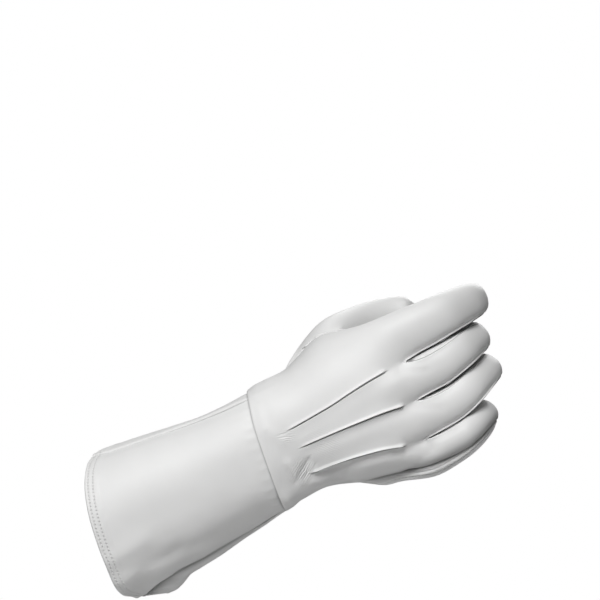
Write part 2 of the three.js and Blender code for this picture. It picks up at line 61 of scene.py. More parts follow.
# The hem and the wrist seam lean with depth and with height, and swing a little at one end. The
# palm panel's hem is shorter, and the gauntlet is tucked a little under the hand.
HEM = {"x": 9, "lean_y": 0.4, "middle": 0, "lean_z": 0.1, "swing": -1.8, "from": -20, "over": -24}
WRIST = {"x": 106, "lean_y": 0.06, "middle": -12, "lean_z": 0.09, "swing": 1.3, "from": 14, "over": 24}
PALM_HEM = {"shorter": 11, "top_ramp": 2.5, "low_ramp": 22}
TUCK = 4

# Each seam lies in a valley. Near the hem the little-finger seam runs further round to the palm,
# in a deeper notch, and the corner beside it is drawn in. Widths along the ring are turns.
SEAM_VALLEY = {"top": 0.7, "low": 2.9, "width": 0.13, "ends": 0.9}
LOW_CORNER = {"ends": 0.22, "round": 0.45, "notch": 2.6, "notch_width": 0.1, "draw": 5.0, "draw_at": 0.3,
              "draw_width": 0.3}

# The hem: its wall, the round of its edge, how far it is turned in, and its rows of stitches.
LEATHER = 1.2
HEM_WALL = 2.2
HEM_ROUND = 1.0
HEM_TURNED = 9.0
HEM_STEP = {"height": 0.22, "before": 1.2, "over": 2.0}
HEM_ROWS = (2.4, 5.4)
PITCH = 2.3

# Soft profiles beside a line: height, distance from the line, half width.
HEM_PULLED = [(-0.16, row, 0.5) for row in HEM_ROWS]
PANEL_SEAM = [(0.28, 1.7, 1.0), (-0.55, 0, 0.42)]
PUCKERS = {"height": 0.1, "apart": 6.5, "at": 3, "width": 4.0, "from_seam": 8}

# Painted shade in the leather's colour along its seams, at the wrist, at the rows of stitches and in the
# low seam's valley, on the back panel's side and on the palm panel's. The painted shade in the valley fades
# from one station to the wrist.
SEAM_SHADE, WRIST_SHADE = [(0.5, 0, 0.4)], [(0.3, 0, 0.6)]
ROW_SHADE = [(0.05, row, 0.35) for row in HEM_ROWS]
VALLEY_SHADE = {1: [(0.6, 0, 3.0)], -1: [(0.6, 0, 5.5)]}
VALLEY_FADES_FROM = 0.3

# Long soft folds in the back panel, and places where the lower part of the gauntlet stands out
# towards the back of the hand: start x, z, end x, z, half width, height.
BACK_FOLDS = [
    (30, -37, 90, -33.5, 6.0, -1.3),
    (8, -36, 34, -31, 4.5, -0.8),
    (-8, -34, 46, -38, 4.0, 0.9),
    (-8, -21, 18, -18, 5.0, 0.9),
    (8, -7, 50, -9, 7.0, -0.35),
    (20, 20, 96, 12, 14.0, 0.5),
    (84, -18, 104, -23, 7.0, 0.5),
    (60, 33, 106, 31, 3.0, -0.4),
]
CUFF_SWELLS = [
    (-6, -49, 26, -47, 9.0, 4.0),
    (50, -43, 84, -40, 7.0, 1.8),
]
SWELLS_FROM_Y, SWELLS_OVER = 12, 44

# The panel's mesh: parts of its length with their rows, and how far its columns crowd to the seams.
# The folds die away over a last share of the length, and the hem's wall over a few millimetres.
PANEL_ROWS = [(0, 0.09, 31), (0.09, 0.92, 80), (0.92, 1, 18)]
PANEL_CROWDING = 0.8
FOLDS_END_OVER = 0.12
WALL_STEP = 1.5


def smooth(value):
    """A soft step from nought to one."""
    t = np.clip(value, 0, 1)
    return t * t * (3 - 2 * t)


def within(value, start, start_over, end, end_over):
    """One between two places, with a soft start and a soft end."""
    return smooth((value - start) / start_over) * smooth((end - value) / end_over)


def bell(away, width):
    """A soft bump: one at no distance, and nearly nought at twice the width."""
    return np.exp(-((away / width) ** 2))


def bumps(away, profile):
    return sum(height * bell(away - place, width) for height, place, width in profile)


def mix(a, b, share):
    return a + (b - a) * share


def unit(vectors, least=1e-9):
    return vectors / np.maximum(np.linalg.norm(vectors, axis=-1, keepdims=True), least)


def walked_along(points, axis=0):
    """The distance along each line of points, from its start."""
    steps = np.linalg.norm(np.diff(points, axis=axis), axis=-1)
    return np.insert(np.cumsum(steps, axis=axis), 0, 0, axis=axis)


def bent(value):
    """A sine or cosine for a squared-off ellipse."""
    return np.sign(value) * np.abs(value) ** (2 / SQUARENESS)


def turn_for(share):
    return np.arccos(np.sign(share) * np.abs(share) ** (SQUARENESS / 2))


def table_at(table, place):
    """A table's row at any place, by a smooth curve through every column."""
    i = int(np.clip(np.searchsorted(table[:, 0], place) - 1, 0, len(table) - 2))
    before, start, end, after = (table[j] for j in (max(i - 1, 0), i, i + 1, min(i + 2, len(table) - 1)))
    length = end[0] - start[0]
    t = np.clip((place - start[0]) / length, 0, 1)
    start_slope = (end - before) / (end[0] - before[0]) * length
    end_slope = (after - start) / (after[0] - start[0]) * length
    return ((2 * t**3 - 3 * t**2 + 1) * start + (t**3 - 2 * t**2 + t) * start_slope
            + (3 * t**2 - 2 * t**3) * end + (t**3 - t**2) * end_slope)


def line_x(points, line=WRIST):
    """How far along the hand the wrist seam, or the hem, crosses it at each point."""
    y, z = points[..., 1], points[..., 2]
    swing = line["swing"] * smooth((z - line["from"]) / line["over"])
    return line["x"] + line["lean_y"] * (y - line["middle"]) + line["lean_z"] * z + swing


def gauntlet_ring(along, shares, side):
    """One ring of a panel, from the thumb-side seam to the little-finger seam."""
    _, top, low, middle, back, palm, seam_top, seam_low = table_at(GAUNTLET, along)
    centre, half = (top + low) / 2, (top - low) / 2
    near_hem = 1 - smooth(along / LOW_CORNER["ends"])
    first = turn_for((seam_top - centre) / half)
    last = turn_for((seam_low - centre) / half) + LOW_CORNER["round"] * near_hem
    turn = mix(first, last if side > 0 else last - 2 * math.pi, shares)
    deep = 1 - smooth(along / SEAM_VALLEY["ends"])
    drawn_in = 0
    for seam, size, width in ((first, SEAM_VALLEY["top"] * deep, SEAM_VALLEY["width"]),
                              (last, SEAM_VALLEY["low"] * deep, SEAM_VALLEY["width"]),
                              (last, LOW_CORNER["notch"] * near_hem, LOW_CORNER["notch_width"])):
        drawn_in += size * bell(np.arctan2(np.sin(turn - seam), np.cos(turn - seam)), width)
    if side > 0:
        corner = turn - last + LOW_CORNER["draw_at"]
        drawn_in += LOW_CORNER["draw"] * near_hem * bell(corner, LOW_CORNER["draw_width"])
    shrink = 1 - drawn_in / half
    depth = np.where(np.sin(turn) > 0, back - middle, palm - middle)
    ring = np.stack([0 * turn, middle + depth * shrink * np.abs(bent(np.sin(turn))),
                     centre + half * shrink * bent(np.cos(turn))], axis=-1)
    ramps = smooth(PALM_HEM["top_ramp"] * shares) * smooth(PALM_HEM["low_ramp"] * (1 - shares))
    cut_back = 0 if side > 0 else PALM_HEM["shorter"] * ramps
    ring[:, 0] = mix(line_x(ring, HEM) + cut_back, line_x(ring) + TUCK, along)
    return ring


def ridge(points, folds):
    """The height of a list of soft folds at each point, seen from the back of the hand."""
    place = points[..., (0, 2)]
    height = np.zeros(points.shape[:-1])
    for x0, z0, x1, z1, width, size in folds:
        start, way = np.array([x0, z0]), np.array([x1 - x0, z1 - z0])
        share = np.clip(((place - start) @ way) / (way @ way), 0, 1)
        height += size * bell(np.linalg.norm(place - start - share[..., None] * way, axis=-1), width)
    return height


def placed(name, data):
    """A new object at the origin of the scene."""
    thing = bpy.data.objects.new(name, data)
    scene.collection.objects.link(thing)
    return thing


def leather_wall(name, points, faces, normals, thickness, uv, painted_shading, material):
    """A leather piece: the outer side, an inner side one thickness in, and the closed rim."""
    count = len(points)
    inner = points - normals * thickness[:, None]
    edges = np.concatenate([faces[:, [i, (i + 1) % 4]] for i in range(4)])
    forward = edges[:, 0].astype(np.int64) * count + edges[:, 1]
    backward = edges[:, 1].astype(np.int64) * count + edges[:, 0]
    rim = edges[~np.isin(forward, backward)]
    loops = np.concatenate([faces, faces[:, ::-1] + count,
                            np.stack([rim[:, 1], rim[:, 0], rim[:, 0] + count, rim[:, 1] + count], axis=1)])
    corner_uv = np.concatenate([uv, uv[:, ::-1], np.zeros((len(rim), 4, 2))])
    mesh = bpy.data.meshes.new(name)
    mesh.from_pydata((np.concatenate([points, inner]) / 1000).tolist(), [], loops.tolist())
    mesh.uv_layers.new(name="cut").data.foreach_set("uv", corner_uv.astype(np.float32).ravel())
    # The outer side carries the painted shade and the painted highlights, the inner side none.
    painted_shading_attribute = mesh.attributes.new("painted_shading", "FLOAT", "POINT")
    painted_shading_attribute.data.foreach_set("value", np.concatenate([painted_shading, 0 * painted_shading]).astype(np.float32))
    mesh.validate()
    mesh.polygons.foreach_set("use_smooth", [True] * len(mesh.polygons))
    mesh.set_sharp_from_angle(angle=math.radians(55))
    mesh.materials.append(material)
    piece = placed(name, mesh)
    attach(piece, "root")
    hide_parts(name)


def feed(tree, node, inputs):
    """Gives inputs of a node their values, or links them to other nodes' outputs."""
    for label, value in inputs.items():
        if isinstance(value, bpy.types.NodeSocket):
            tree.links.new(value, node.inputs[label])
        else:
            node.inputs[label].default_value = value
    return node


def add_node(tree, kind, inputs=None, **settings):
    node = tree.nodes.new(kind)
    for label, value in settings.items():
        setattr(node, label, value)
    return feed(tree, node, inputs or {})


def node_group(name, inputs, outputs, kind="ShaderNodeTree"):
    """An empty node group with named sockets, and a way to add sums to it."""
    tree = bpy.data.node_groups.new(name, kind)
    for label, socket_kind, value in inputs:
        socket = tree.interface.new_socket(label, in_out="INPUT", socket_type="NodeSocket" + socket_kind)
        if value is not None:
            socket.default_value = value
    for label, socket_kind in outputs:
        tree.interface.new_socket(label, in_out="OUTPUT", socket_type="NodeSocket" + socket_kind)

    def maths(operation, first, second=0.0):
        return add_node(tree, "ShaderNodeMath", {0: first, 1: second}, operation=operation).outputs[0]

    return tree, add_node(tree, "NodeGroupInput").outputs, add_node(tree, "NodeGroupOutput"), maths


def falling_off(maths, away):
    """A soft bump in a node group, as bell makes it."""
    return maths("EXPONENT", maths("MULTIPLY", maths("MULTIPLY", away, away), -1.0))


def leather_grain_group():
    """Fine pebbled grain with pores, faint creases, and soft changes of tone."""
    tree, given, made, maths = node_group(
        "leather_grain",
        [("Vector", "Vector", None), ("Grain per metre", "Float", 1500.0), ("Creases", "Float", 0.5)],
        [("Height", "Float"), ("Tone", "Float")])

    def noise(per_metre, detail, distortion=0.0, kind="FBM"):
        return add_node(tree, "ShaderNodeTexNoise",
                        {"Vector": given["Vector"], "Scale": per_metre, "Detail": detail,
                         "Distortion": distortion}, noise_type=kind).outputs

    warped = add_node(tree, "ShaderNodeVectorMath",
                      {0: noise(900, 2)["Color"], 1: (0.0004, 0.0004, 0.0004), 2: given["Vector"]},
                      operation="MULTIPLY_ADD").outputs[0]
    pebbles = add_node(tree, "ShaderNodeTexVoronoi",
                       {"Vector": warped, "Scale": given["Grain per metre"], "Smoothness": 0.6},
                       feature="SMOOTH_F1").outputs["Distance"]
    grain = maths("ADD", maths("MULTIPLY", pebbles, -0.55), maths("MULTIPLY", noise(4200, 3)["Fac"], 0.25))
    ridges = maths("MULTIPLY", noise(170, 4, 0.6, "RIDGED_MULTIFRACTAL")["Fac"], 0.12)
    feed(tree, made, {"Height": maths("SUBTRACT", grain, maths("MULTIPLY", ridges, given["Creases"])),
                      "Tone": noise(26, 3)["Fac"]})
    return tree


def needle_holes_group():
    """Rows of needle holes, by the distance along the hem and the distance from its edge."""
    tree, given, made, maths = node_group(
        "needle_holes",
        [("Along", "Float", None), ("From edge", "Float", None), ("First row", "Float", HEM_ROWS[0]),
         ("Second row", "Float", HEM_ROWS[1]), ("Pitch", "Float", PITCH), ("Half width", "Float", 0.38)],
        [("Depth", "Float")])
    phase = maths("MULTIPLY", maths("DIVIDE", given["Along"], given["Pitch"]), 2 * math.pi)
    beat = maths("POWER", maths("MULTIPLY", maths("ADD", maths("COSINE", phase), 1.0), 0.5), 3.0)
    to_row = [maths("ABSOLUTE", maths("SUBTRACT", given["From edge"], given[row]))
              for row in ("First row", "Second row")]
    near = falling_off(maths, maths("DIVIDE", maths("MINIMUM", *to_row), given["Half width"]))
    feed(tree, made, {"Depth": maths("MULTIPLY", beat, near)})
    return tree


def fine_wrinkles_group():
    """A patch of fine wrinkles, side by side, where the leather is drawn together."""
    tree, given, made, maths = node_group(
        "fine_wrinkles",
        [("Vector", "Vector", None), ("Middle", "Vector", (0, 0, 0)), ("Radius", "Float", 0.007),
         ("Across", "Vector", (1, 0, 0)), ("Spacing", "Float", 0.0013), ("Unevenness", "Float", 0.0022)],
        [("Height", "Float")])

    def measure(operation, other):
        return add_node(tree, "ShaderNodeVectorMath", {0: given["Vector"], 1: given[other]},
                        operation=operation).outputs["Value"]

    patch = falling_off(maths, maths("DIVIDE", measure("DISTANCE", "Middle"), given["Radius"]))
    sway = add_node(tree, "ShaderNodeTexNoise", {"Vector": given["Vector"], "Scale": 330, "Detail": 3})
    place = maths("ADD", measure("DOT_PRODUCT", "Across"),
                  maths("MULTIPLY", sway.outputs["Fac"], given["Unevenness"]))
    wave = maths("COSINE", maths("MULTIPLY", maths("DIVIDE", place, given["Spacing"]), 2 * math.pi))
    feed(tree, made, {"Height": maths("MULTIPLY", wave, patch)})
    return tree


def plain_material(name, inputs):
    material = bpy.data.materials.new(name)
    material.use_nodes = True
    feed(material.node_tree, material.node_tree.nodes["Principled BSDF"], inputs)
    return material


LEATHER_GRAIN = leather_grain_group()
NEEDLE_HOLES = needle_holes_group()
FINE_WRINKLES = fine_wrinkles_group()

# The leather: its white, what is left of it where the tone is dull and under full painted shade, its least
# and most roughness, and the strength and depth in metres of its grain and needle holes.
WHITE = (0.79, 0.79, 0.785)
DULLER, LEFT_IN_PAINTED_SHADE = 0.95, 0.12
ROUGHNESS = (0.41, 0.53)
GRAIN_BUMP, GRAIN_DEPTH = 0.35, 0.00012
HOLE_BUMP, HOLE_DEPTH = 0.9, 0.0005


def white_leather(name, creases, stitched=False, wrinkles=()):
    """Smooth white glove leather with a low shine, with painted shade and painted highlights."""
    material = plain_material(name, {"Specular IOR Level": 0.4, "Sheen Weight": 0.05, "Sheen Roughness": 0.4})
    tree = material.node_tree

    def added(group, inputs):
        return add_node(tree, "ShaderNodeGroup", inputs, node_tree=group).outputs

    def raised(height, strength, distance, **settings):
        inputs = {"Strength": strength, "Distance": distance, "Height": height}
        return add_node(tree, "ShaderNodeBump", inputs, **settings)

    place = add_node(tree, "ShaderNodeTexCoord").outputs["Object"]
    grain = added(LEATHER_GRAIN, {"Vector": place, "Creases": creases})
    tone = add_node(tree, "ShaderNodeValToRGB", {"Fac": grain["Tone"]})
    for stop, position, share in zip(tone.color_ramp.elements, (0.3, 0.7), (DULLER, 1)):
        stop.position, stop.color = position, (*(channel * share for channel in WHITE), 1)
    # Painted shade darkens the white, and painted highlights, given as values below nought, lighten it.
    painted_shading_attribute = add_node(tree, "ShaderNodeAttribute", attribute_name="painted_shading").outputs["Fac"]
    left = add_node(tree, "ShaderNodeMapRange", {"Value": painted_shading_attribute, "To Min": 1.0, "To Max": LEFT_IN_PAINTED_SHADE},
                    clamp=False)
    shaded = add_node(tree, "ShaderNodeVectorMath",
                      {0: tone.outputs["Color"], "Scale": left.outputs["Result"]}, operation="SCALE")
    gloss = add_node(tree, "ShaderNodeMapRange",
                     {"Value": grain["Tone"], "To Min": ROUGHNESS[0], "To Max": ROUGHNESS[1]})
    bump = raised(grain["Height"], GRAIN_BUMP, GRAIN_DEPTH)
    for middle, radius, across, height in wrinkles:
        patch = added(FINE_WRINKLES, {"Vector": place, "Middle": middle, "Radius": radius, "Across": across})
        bump = feed(tree, raised(patch["Height"], 1.0, height), {"Normal": bump.outputs["Normal"]})
    if stitched:
        flat = add_node(tree, "ShaderNodeUVMap", uv_map="cut").outputs["UV"]
        split = add_node(tree, "ShaderNodeSeparateXYZ", {"Vector": flat}).outputs
        holes = added(NEEDLE_HOLES, {"Along": split["X"], "From edge": split["Y"]})
        pits = raised(holes["Depth"], HOLE_BUMP, HOLE_DEPTH, invert=True)
        bump = feed(tree, pits, {"Normal": bump.outputs["Normal"]})
    feed(tree, tree.nodes["Principled BSDF"],
         {"Base Color": shaded.outputs[0], "Roughness": gloss.outputs["Result"],
          "Normal": bump.outputs["Normal"]})
    return material


gauntlet_leather = white_leather("gauntlet_leather", creases=0.2, stitched=True)


def hem_profile(from_edge):
    """How far the surface near the hem stands out, by distance from the edge."""
    inside = np.clip(HEM_ROUND - from_edge, 0, HEM_ROUND)
    rounded = np.sqrt(HEM_ROUND**2 - inside**2) - HEM_ROUND
    past = smooth((from_edge - HEM_TURNED + HEM_STEP["before"]) / HEM_STEP["over"])
    return rounded + bumps(from_edge, HEM_PULLED) + HEM_STEP["height"] * (1 - past)


def gauntlet_panel(name, side, columns, folds, rolled_out):
    """A panel of the gauntlet. Returns the points, normals and lengths under each row of stitches."""
    stations = np.unique(np.concatenate([np.linspace(*part) for part in PANEL_ROWS]))
    t = np.linspace(0, 1, columns)
    shares = t - PANEL_CROWDING * np.sin(2 * math.pi * t) / (2 * math.pi)
    grid = np.stack([gauntlet_ring(along, shares, side) for along in stations])
    normals = unit(np.cross(np.gradient(grid, axis=1), np.gradient(grid, axis=0))) * side
    walked, from_edge = walked_along(grid, axis=1), walked_along(grid, axis=0)
    to_low_seam = walked[:, -1:] - walked
    from_seam = np.minimum(walked, to_low_seam)
    free = smooth((1 - stations) / FOLDS_END_OVER)[:, None]
    relief = hem_profile(from_edge) + bumps(from_seam, PANEL_SEAM)
    relief += (ridge(grid, folds) + bumps(walked, rolled_out)) * free
    # Just before the wrist the leather is drawn into small soft puckers.
    to_hand = line_x(grid) - grid[..., 0]
    waves = PUCKERS["height"] * np.sin(walked * 2 * math.pi / PUCKERS["apart"])
    waves *= bell(to_hand - PUCKERS["at"], PUCKERS["width"])
    relief += waves * smooth(from_seam / PUCKERS["from_seam"])
    points = grid + normals * relief[..., None]
    points[..., 1] -= ridge(grid, CUFF_SWELLS) * smooth((SWELLS_FROM_Y - grid[..., 1]) / SWELLS_OVER) * free
    # Painted shade in the seams, at the wrist, along the rows of stitches and in the low seam's valley.
    fading = 1 - smooth((stations[:, None] - VALLEY_FADES_FROM) / (1 - VALLEY_FADES_FROM))
    valley = bumps(to_low_seam, VALLEY_SHADE[side]) * fading
    painted_shading = np.maximum.reduce([bumps(from_seam, SEAM_SHADE), bumps(to_hand, WRIST_SHADE), valley,
                               bumps(from_edge, ROW_SHADE)])
    corner = (np.arange(len(grid) - 1)[:, None] * columns + np.arange(columns - 1)).ravel()
    faces = np.stack([corner, corner + 1, corner + columns + 1, corner + columns], axis=1)[:, ::side]
    cut = np.stack([walked, from_edge], axis=-1).reshape(-1, 2)
    wall = mix(HEM_WALL, LEATHER, smooth((from_edge.ravel() - HEM_TURNED) / WALL_STEP))
    leather_wall(name, points.reshape(-1, 3), faces, normals.reshape(-1, 3), wall, cut[faces], painted_shading.ravel(),
                 gauntlet_leather)
    on_row = [np.argmin(np.abs(from_edge - row), axis=0) for row in HEM_ROWS]
    return [[values[rows, np.arange(columns)] for values in (points, normals, walked)] for rows in on_row]


back_lines = gauntlet_panel("gauntlet_back", 1, 150, BACK_FOLDS, [])


# The palm-side panel of the gauntlet goes the longer way round. Its hem is cut back a little, it
# rolls out past the thumb-side seam, and hangs in a soft lobe below the little-finger seam.

PALM_ROLLED_OUT = [(0.7, 3.2, 1.8)]
palm_lines = gauntlet_panel("gauntlet_palm", -1, 190, [], PALM_ROLLED_OUT)


# The stitches of the hem: two rows of short white thread, sewn through the turned-in edge, each
# stitch pulled a little into the leather.

THREAD = 0.42

# In shares of the pitch: where the first and the last stitch lie, a stitch's length, and how far
# to each side of its middle the line is looked at for its direction.
STITCH = {"first": 0.5, "last": 0.4, "length": 0.72, "look": 0.3}


def stitch_tree():
    """Lays one stitch on every point, along the point's own direction."""
    tree, given, made, maths = node_group(
        "stitch_row",
        [("Geometry", "Geometry", None), ("Length", "Float", 0.0016), ("Thickness", "Float", 0.0004),
         ("Unevenness", "Float", 0.12), ("Seed", "Int", 7), ("Thread", "Material", None)],
        [("Geometry", "Geometry")], "GeometryNodeTree")

    def turned(label, inputs, **axes):
        reader = add_node(tree, "GeometryNodeInputNamedAttribute", {"Name": label}, data_type="FLOAT_VECTOR")
        towards = {"Vector": reader.outputs["Attribute"], **inputs}
        return add_node(tree, "FunctionNodeAlignRotationToVector", towards, **axes).outputs["Rotation"]

    bead = add_node(tree, "GeometryNodeMeshUVSphere", {"Segments": 8, "Rings": 6, "Radius": 0.5})
    along = turned("along", {}, axis="X")
    upright = turned("out", {"Rotation": along}, axis="Z", pivot_axis="X")
    size = add_node(tree, "ShaderNodeCombineXYZ",
                    {"X": given["Length"], "Y": given["Thickness"], "Z": given["Thickness"]})
    uneven = add_node(tree, "FunctionNodeRandomValue", {"Seed": given["Seed"]}, data_type="FLOAT")
    limits = [socket for socket in uneven.inputs if socket.type == "VALUE"]
    for socket, operation in zip(limits, ("SUBTRACT", "ADD")):
        tree.links.new(maths(operation, 1.0, given["Unevenness"]), socket)
    share = next(socket for socket in uneven.outputs if socket.type == "VALUE")
    scaled = add_node(tree, "ShaderNodeVectorMath", {0: size.outputs[0], "Scale": share}, operation="SCALE")
    laid = add_node(tree, "GeometryNodeInstanceOnPoints",
                    {"Points": given["Geometry"], "Instance": bead.outputs["Mesh"], "Rotation": upright,
                     "Scale": scaled.outputs[0]})
    real = add_node(tree, "GeometryNodeRealizeInstances", {0: laid.outputs[0]})
    rounded = add_node(tree, "GeometryNodeSetShadeSmooth", {"Geometry": real.outputs[0]})
    painted = add_node(tree, "GeometryNodeSetMaterial",
                       {"Geometry": rounded.outputs[0], "Material": given["Thread"]})
    feed(tree, made, {"Geometry": painted.outputs[0]})
    return tree


STITCH_TREE = stitch_tree()
thread = plain_material("thread", {"Base Color": (0.74, 0.74, 0.73, 1), "Roughness": 0.6,
                                   "Sheen Weight": 0.2})


def made_by_modifiers(holder):
    """The mesh that an object's modifiers make. The object and its own mesh are removed."""
    source = holder.data
    bpy.context.view_layer.update()
    made = bpy.data.meshes.new_from_object(holder.evaluated_get(bpy.context.evaluated_depsgraph_get()))
    bpy.data.objects.remove(holder)
    bpy.data.meshes.remove(source)
    return made


def read_at(places, walked, vectors):
    """The vectors along a line, read at other places of it."""
    return np.stack([np.interp(places, walked, column) for column in vectors.T], axis=1)


def stitches(name, lines, sunk):
    """Rows of stitches along lines of points, a part of the thread sunk in the leather."""
    places, ways, outs = [], [], []
    for points, normals, walked in lines:
        middles = np.arange(STITCH["first"] * PITCH, walked[-1] - STITCH["last"] * PITCH, PITCH)
        look = STITCH["look"] * PITCH
        outs.append(read_at(middles, walked, normals))
        places.append(read_at(middles, walked, points) - outs[-1] * sunk)
        ways.append(read_at(middles + look, walked, points) - read_at(middles - look, walked, points))
    mesh = bpy.data.meshes.new(name)
    mesh.from_pydata((np.concatenate(places) / 1000).tolist(), [], [])
    for label, values in (("along", ways), ("out", outs)):
        layer = mesh.attributes.new(label, "FLOAT_VECTOR", "POINT")
        layer.data.foreach_set("vector", np.concatenate(values).astype(np.float32).ravel())
    holder = placed(name, mesh)
    rule = holder.modifiers.new("stitches", "NODES")
    rule.node_group = STITCH_TREE
    values = {"Length": STITCH["length"] * PITCH / 1000, "Thickness": THREAD / 1000, "Unevenness": 0.12,
              "Seed": 7, "Thread": thread}
    for socket in STITCH_TREE.interface.items_tree:
        if socket.in_out == "INPUT" and socket.name in values:
            rule[socket.identifier] = values[socket.name]
    piece = placed(name, made_by_modifiers(holder))
    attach(piece, "root")


stitches("hem_stitches", back_lines + palm_lines, 0.04)


# The back of the hand, cut in one with the backs of the four fingers from thin white leather. The
# hand's whole skin is worked out as one coarse net, from the wrist seam to the webs and the tips,
# and smoothed as one surface, so that its sewn pieces run into each other.

# Rings of the hand: x, height of the thumb-side seam and of the little-finger seam, the depth of
# both, and the depth of the back and of the palm.
HAND = np.array([
    [98, 38.3, -38.9, -12, -12.0, -43.0, 17.5],
    [106, 38.3, -37.4, -12, -12.0, -43.0, 17.5],
    [112, 38.4, -35.7, -12, -12.0, -43.3, 17.4],
    [120, 39.6, -34.5, -11.5, -12.0, -43.7, 15.9],
    [128, 39.4, -33.9, -10, -12.0, -43.5, 13.0],
    [136, 39.9, -35.2, -8, -12.5, -43.2, 10.5],
    [142, 42.0, -37.1, -6, -13.0, -43.0, 8.8],
    [150, 45.2, -39.8, -4, -14.2, -43.0, 7.0],
    [158, 48.6, -41.3, -4, -16.0, -43.0, 5.0],
    [166, 49.6, -42.7, -7, -17.6, -43.0, 2.5],
    [176, 47.6, -44.8, -15, -19.6, -42.5, -5.0],
    [186, 46.0, -46.6, -21, -21.0, -42.0, -10.0],
    [206, 45.0, -49.0, -23, -23.0, -40.0, -14.0],
])

# The rows of the net across the hand, by their share of the way from the wrist to the webs, and
# the places of its columns across one finger's band. Both crowd where the seams are. The line of
# the webs has its ends at the first two places along the hand, and is straight in the flat cut.
HAND_ROWS = [0, 0.014, 0.05, 0.11, 0.19, 0.27, 0.335, 0.4, 0.465,
             0.53, 0.595, 0.66, 0.73, 0.8, 0.87, 0.94, 1]
STRIP_COLUMNS = [-1, -0.86, -0.5, 0, 0.5, 0.86, 1]
INDEX_WEB_X, LITTLE_WEB_X, WEB_X = 206, 195, 205

# Three points are sewn into the back of the hand. Each runs from the wrist towards the slit
# between two fingers: its height across the hand at both ends, its bow, where it starts and ends,
# how high it stands at both ends, and how deep the leather is drawn in below it.
POINTS = [
    {"wrist_z": 5.4, "web_z": 15.3, "web_x": 205, "bow": 1.3, "start": 121, "end": 193,
     "height": (0.6, 1.0), "hollow": 0.2},
    {"wrist_z": -6, "web_z": -8.7, "web_x": 203, "bow": 2.4, "start": 124, "end": 194,
     "height": (0.6, 1.9), "hollow": 0.5},
    {"wrist_z": -22, "web_z": -32.6, "web_x": 196, "bow": 2.2, "start": 123, "end": 185,
     "height": (1.6, 2.0), "hollow": 1.2},
]

# The fingers, from the index to the little one: the centre at the web, width and thickness there
# and at the tip, taper, the lengths of the three joints, how far each is curled, the lean across
# the hand at the web and past it, and how far the back strip reaches round on the thumb side.
FINGERS = [
    {"centre": (205, -27.0, 30.3), "size": (28.9, 23.0), "tip": (20.4, 17.5), "taper": 1.3,
     "joints": (32, 24, 22), "curl": (9, 42, 80), "lean": (0, 2), "reach": 90},
    {"centre": (203, -29.0, 3.3), "size": (23.4, 22.5), "tip": (19.0, 17.5), "taper": 1.6,
     "joints": (33, 24, 23), "curl": (12, 56, 98), "lean": (1, 16), "reach": 44},
    {"centre": (199, -28.5, -20.6), "size": (23.6, 21.5), "tip": (18.3, 17.0), "taper": 0.8,
     "joints": (35, 24, 22), "curl": (11, 50, 95), "lean": (0, 23), "reach": 52},
    {"centre": (195, -26.0, -40.8), "size": (16.4, 20.0), "tip": (16.6, 15.5), "taper": 0.8,
     "joints": (26.5, 17.5, 18), "curl": (2, 41, 86), "lean": (0, 24), "reach": 62},
]
LENGTHS = [round(sum(finger["joints"])) for finger in FINGERS]
LITTLE = len(FINGERS) - 1
FAR_REACH = 66

# The net of a finger: its rows, which crowd at the tip, and the lengths over which the hand runs
# into the finger, a joint bends, the tip closes, the lean begins and the edges part past the web.
FINGER_ROWS = 12
TIP_CROWDING = 1.35
BLEND_LENGTH = 24
JOINT_BEND = 9
TIP_LENGTH = 10
TIP_NARROWS, TIP_POWERS = 0.5, (2.6, 2.4)
LEAN_FROM, LEAN_OVER = 10, 28
WEB_PULL, WEB_PULL_POWER = 10, 4

# Where two fingers lie side by side they are pressed together: from and to which place along the
# hand, over which lengths that starts and ends, and how far each side stands out.
PRESSED = [(203, 14, 236, 12, 0.62), (200, 14, 231, 12, 0.72), (196, 10, 222, 10, 0.3)]


def lean_at(finger, s):
    return math.radians(mix(*FINGERS[finger]["lean"], smooth((s - LEAN_FROM) / LEAN_OVER)))


def finger_direction(finger, s):
    joints, curls = FINGERS[finger]["joints"], FINGERS[finger]["curl"]
    bends = [smooth((s - joint + JOINT_BEND) / (2 * JOINT_BEND))
             for joint in (joints[0], joints[0] + joints[1])]
    curl = math.radians(curls[0] + (curls[1] - curls[0]) * bends[0] + (curls[2] - curls[1]) * bends[1])
    lean = lean_at(finger, s)
    return np.array([math.cos(curl) * math.cos(lean), math.sin(curl), math.cos(curl) * math.sin(lean)])


def finger_course(finger):
    """The finger's centre line, in steps of a millimetre from the web."""
    steps = [np.array(FINGERS[finger]["centre"], float)]
    for s in range(LENGTHS[finger]):
        steps.append(steps[-1] + finger_direction(finger, s + 0.5))
    return np.array(steps)


COURSES = [finger_course(finger) for finger in range(len(FINGERS))]


def tip_shares(tip):
    """What is left of a finger's width and thickness at a share of the way along its tip."""
    return 1 - TIP_NARROWS * tip ** TIP_POWERS[0], math.sqrt(1 - tip ** TIP_POWERS[1])


def pressed(finger, edge, x):
    """How far a finger's far side (edge 1) or thumb side (edge -1) is pressed out at a place."""
    pair = finger if edge > 0 else finger - 1
    if not 0 <= pair < len(PRESSED):
        return 0.0
    *limits, size = PRESSED[pair]
    return float(size * within(x, *limits))


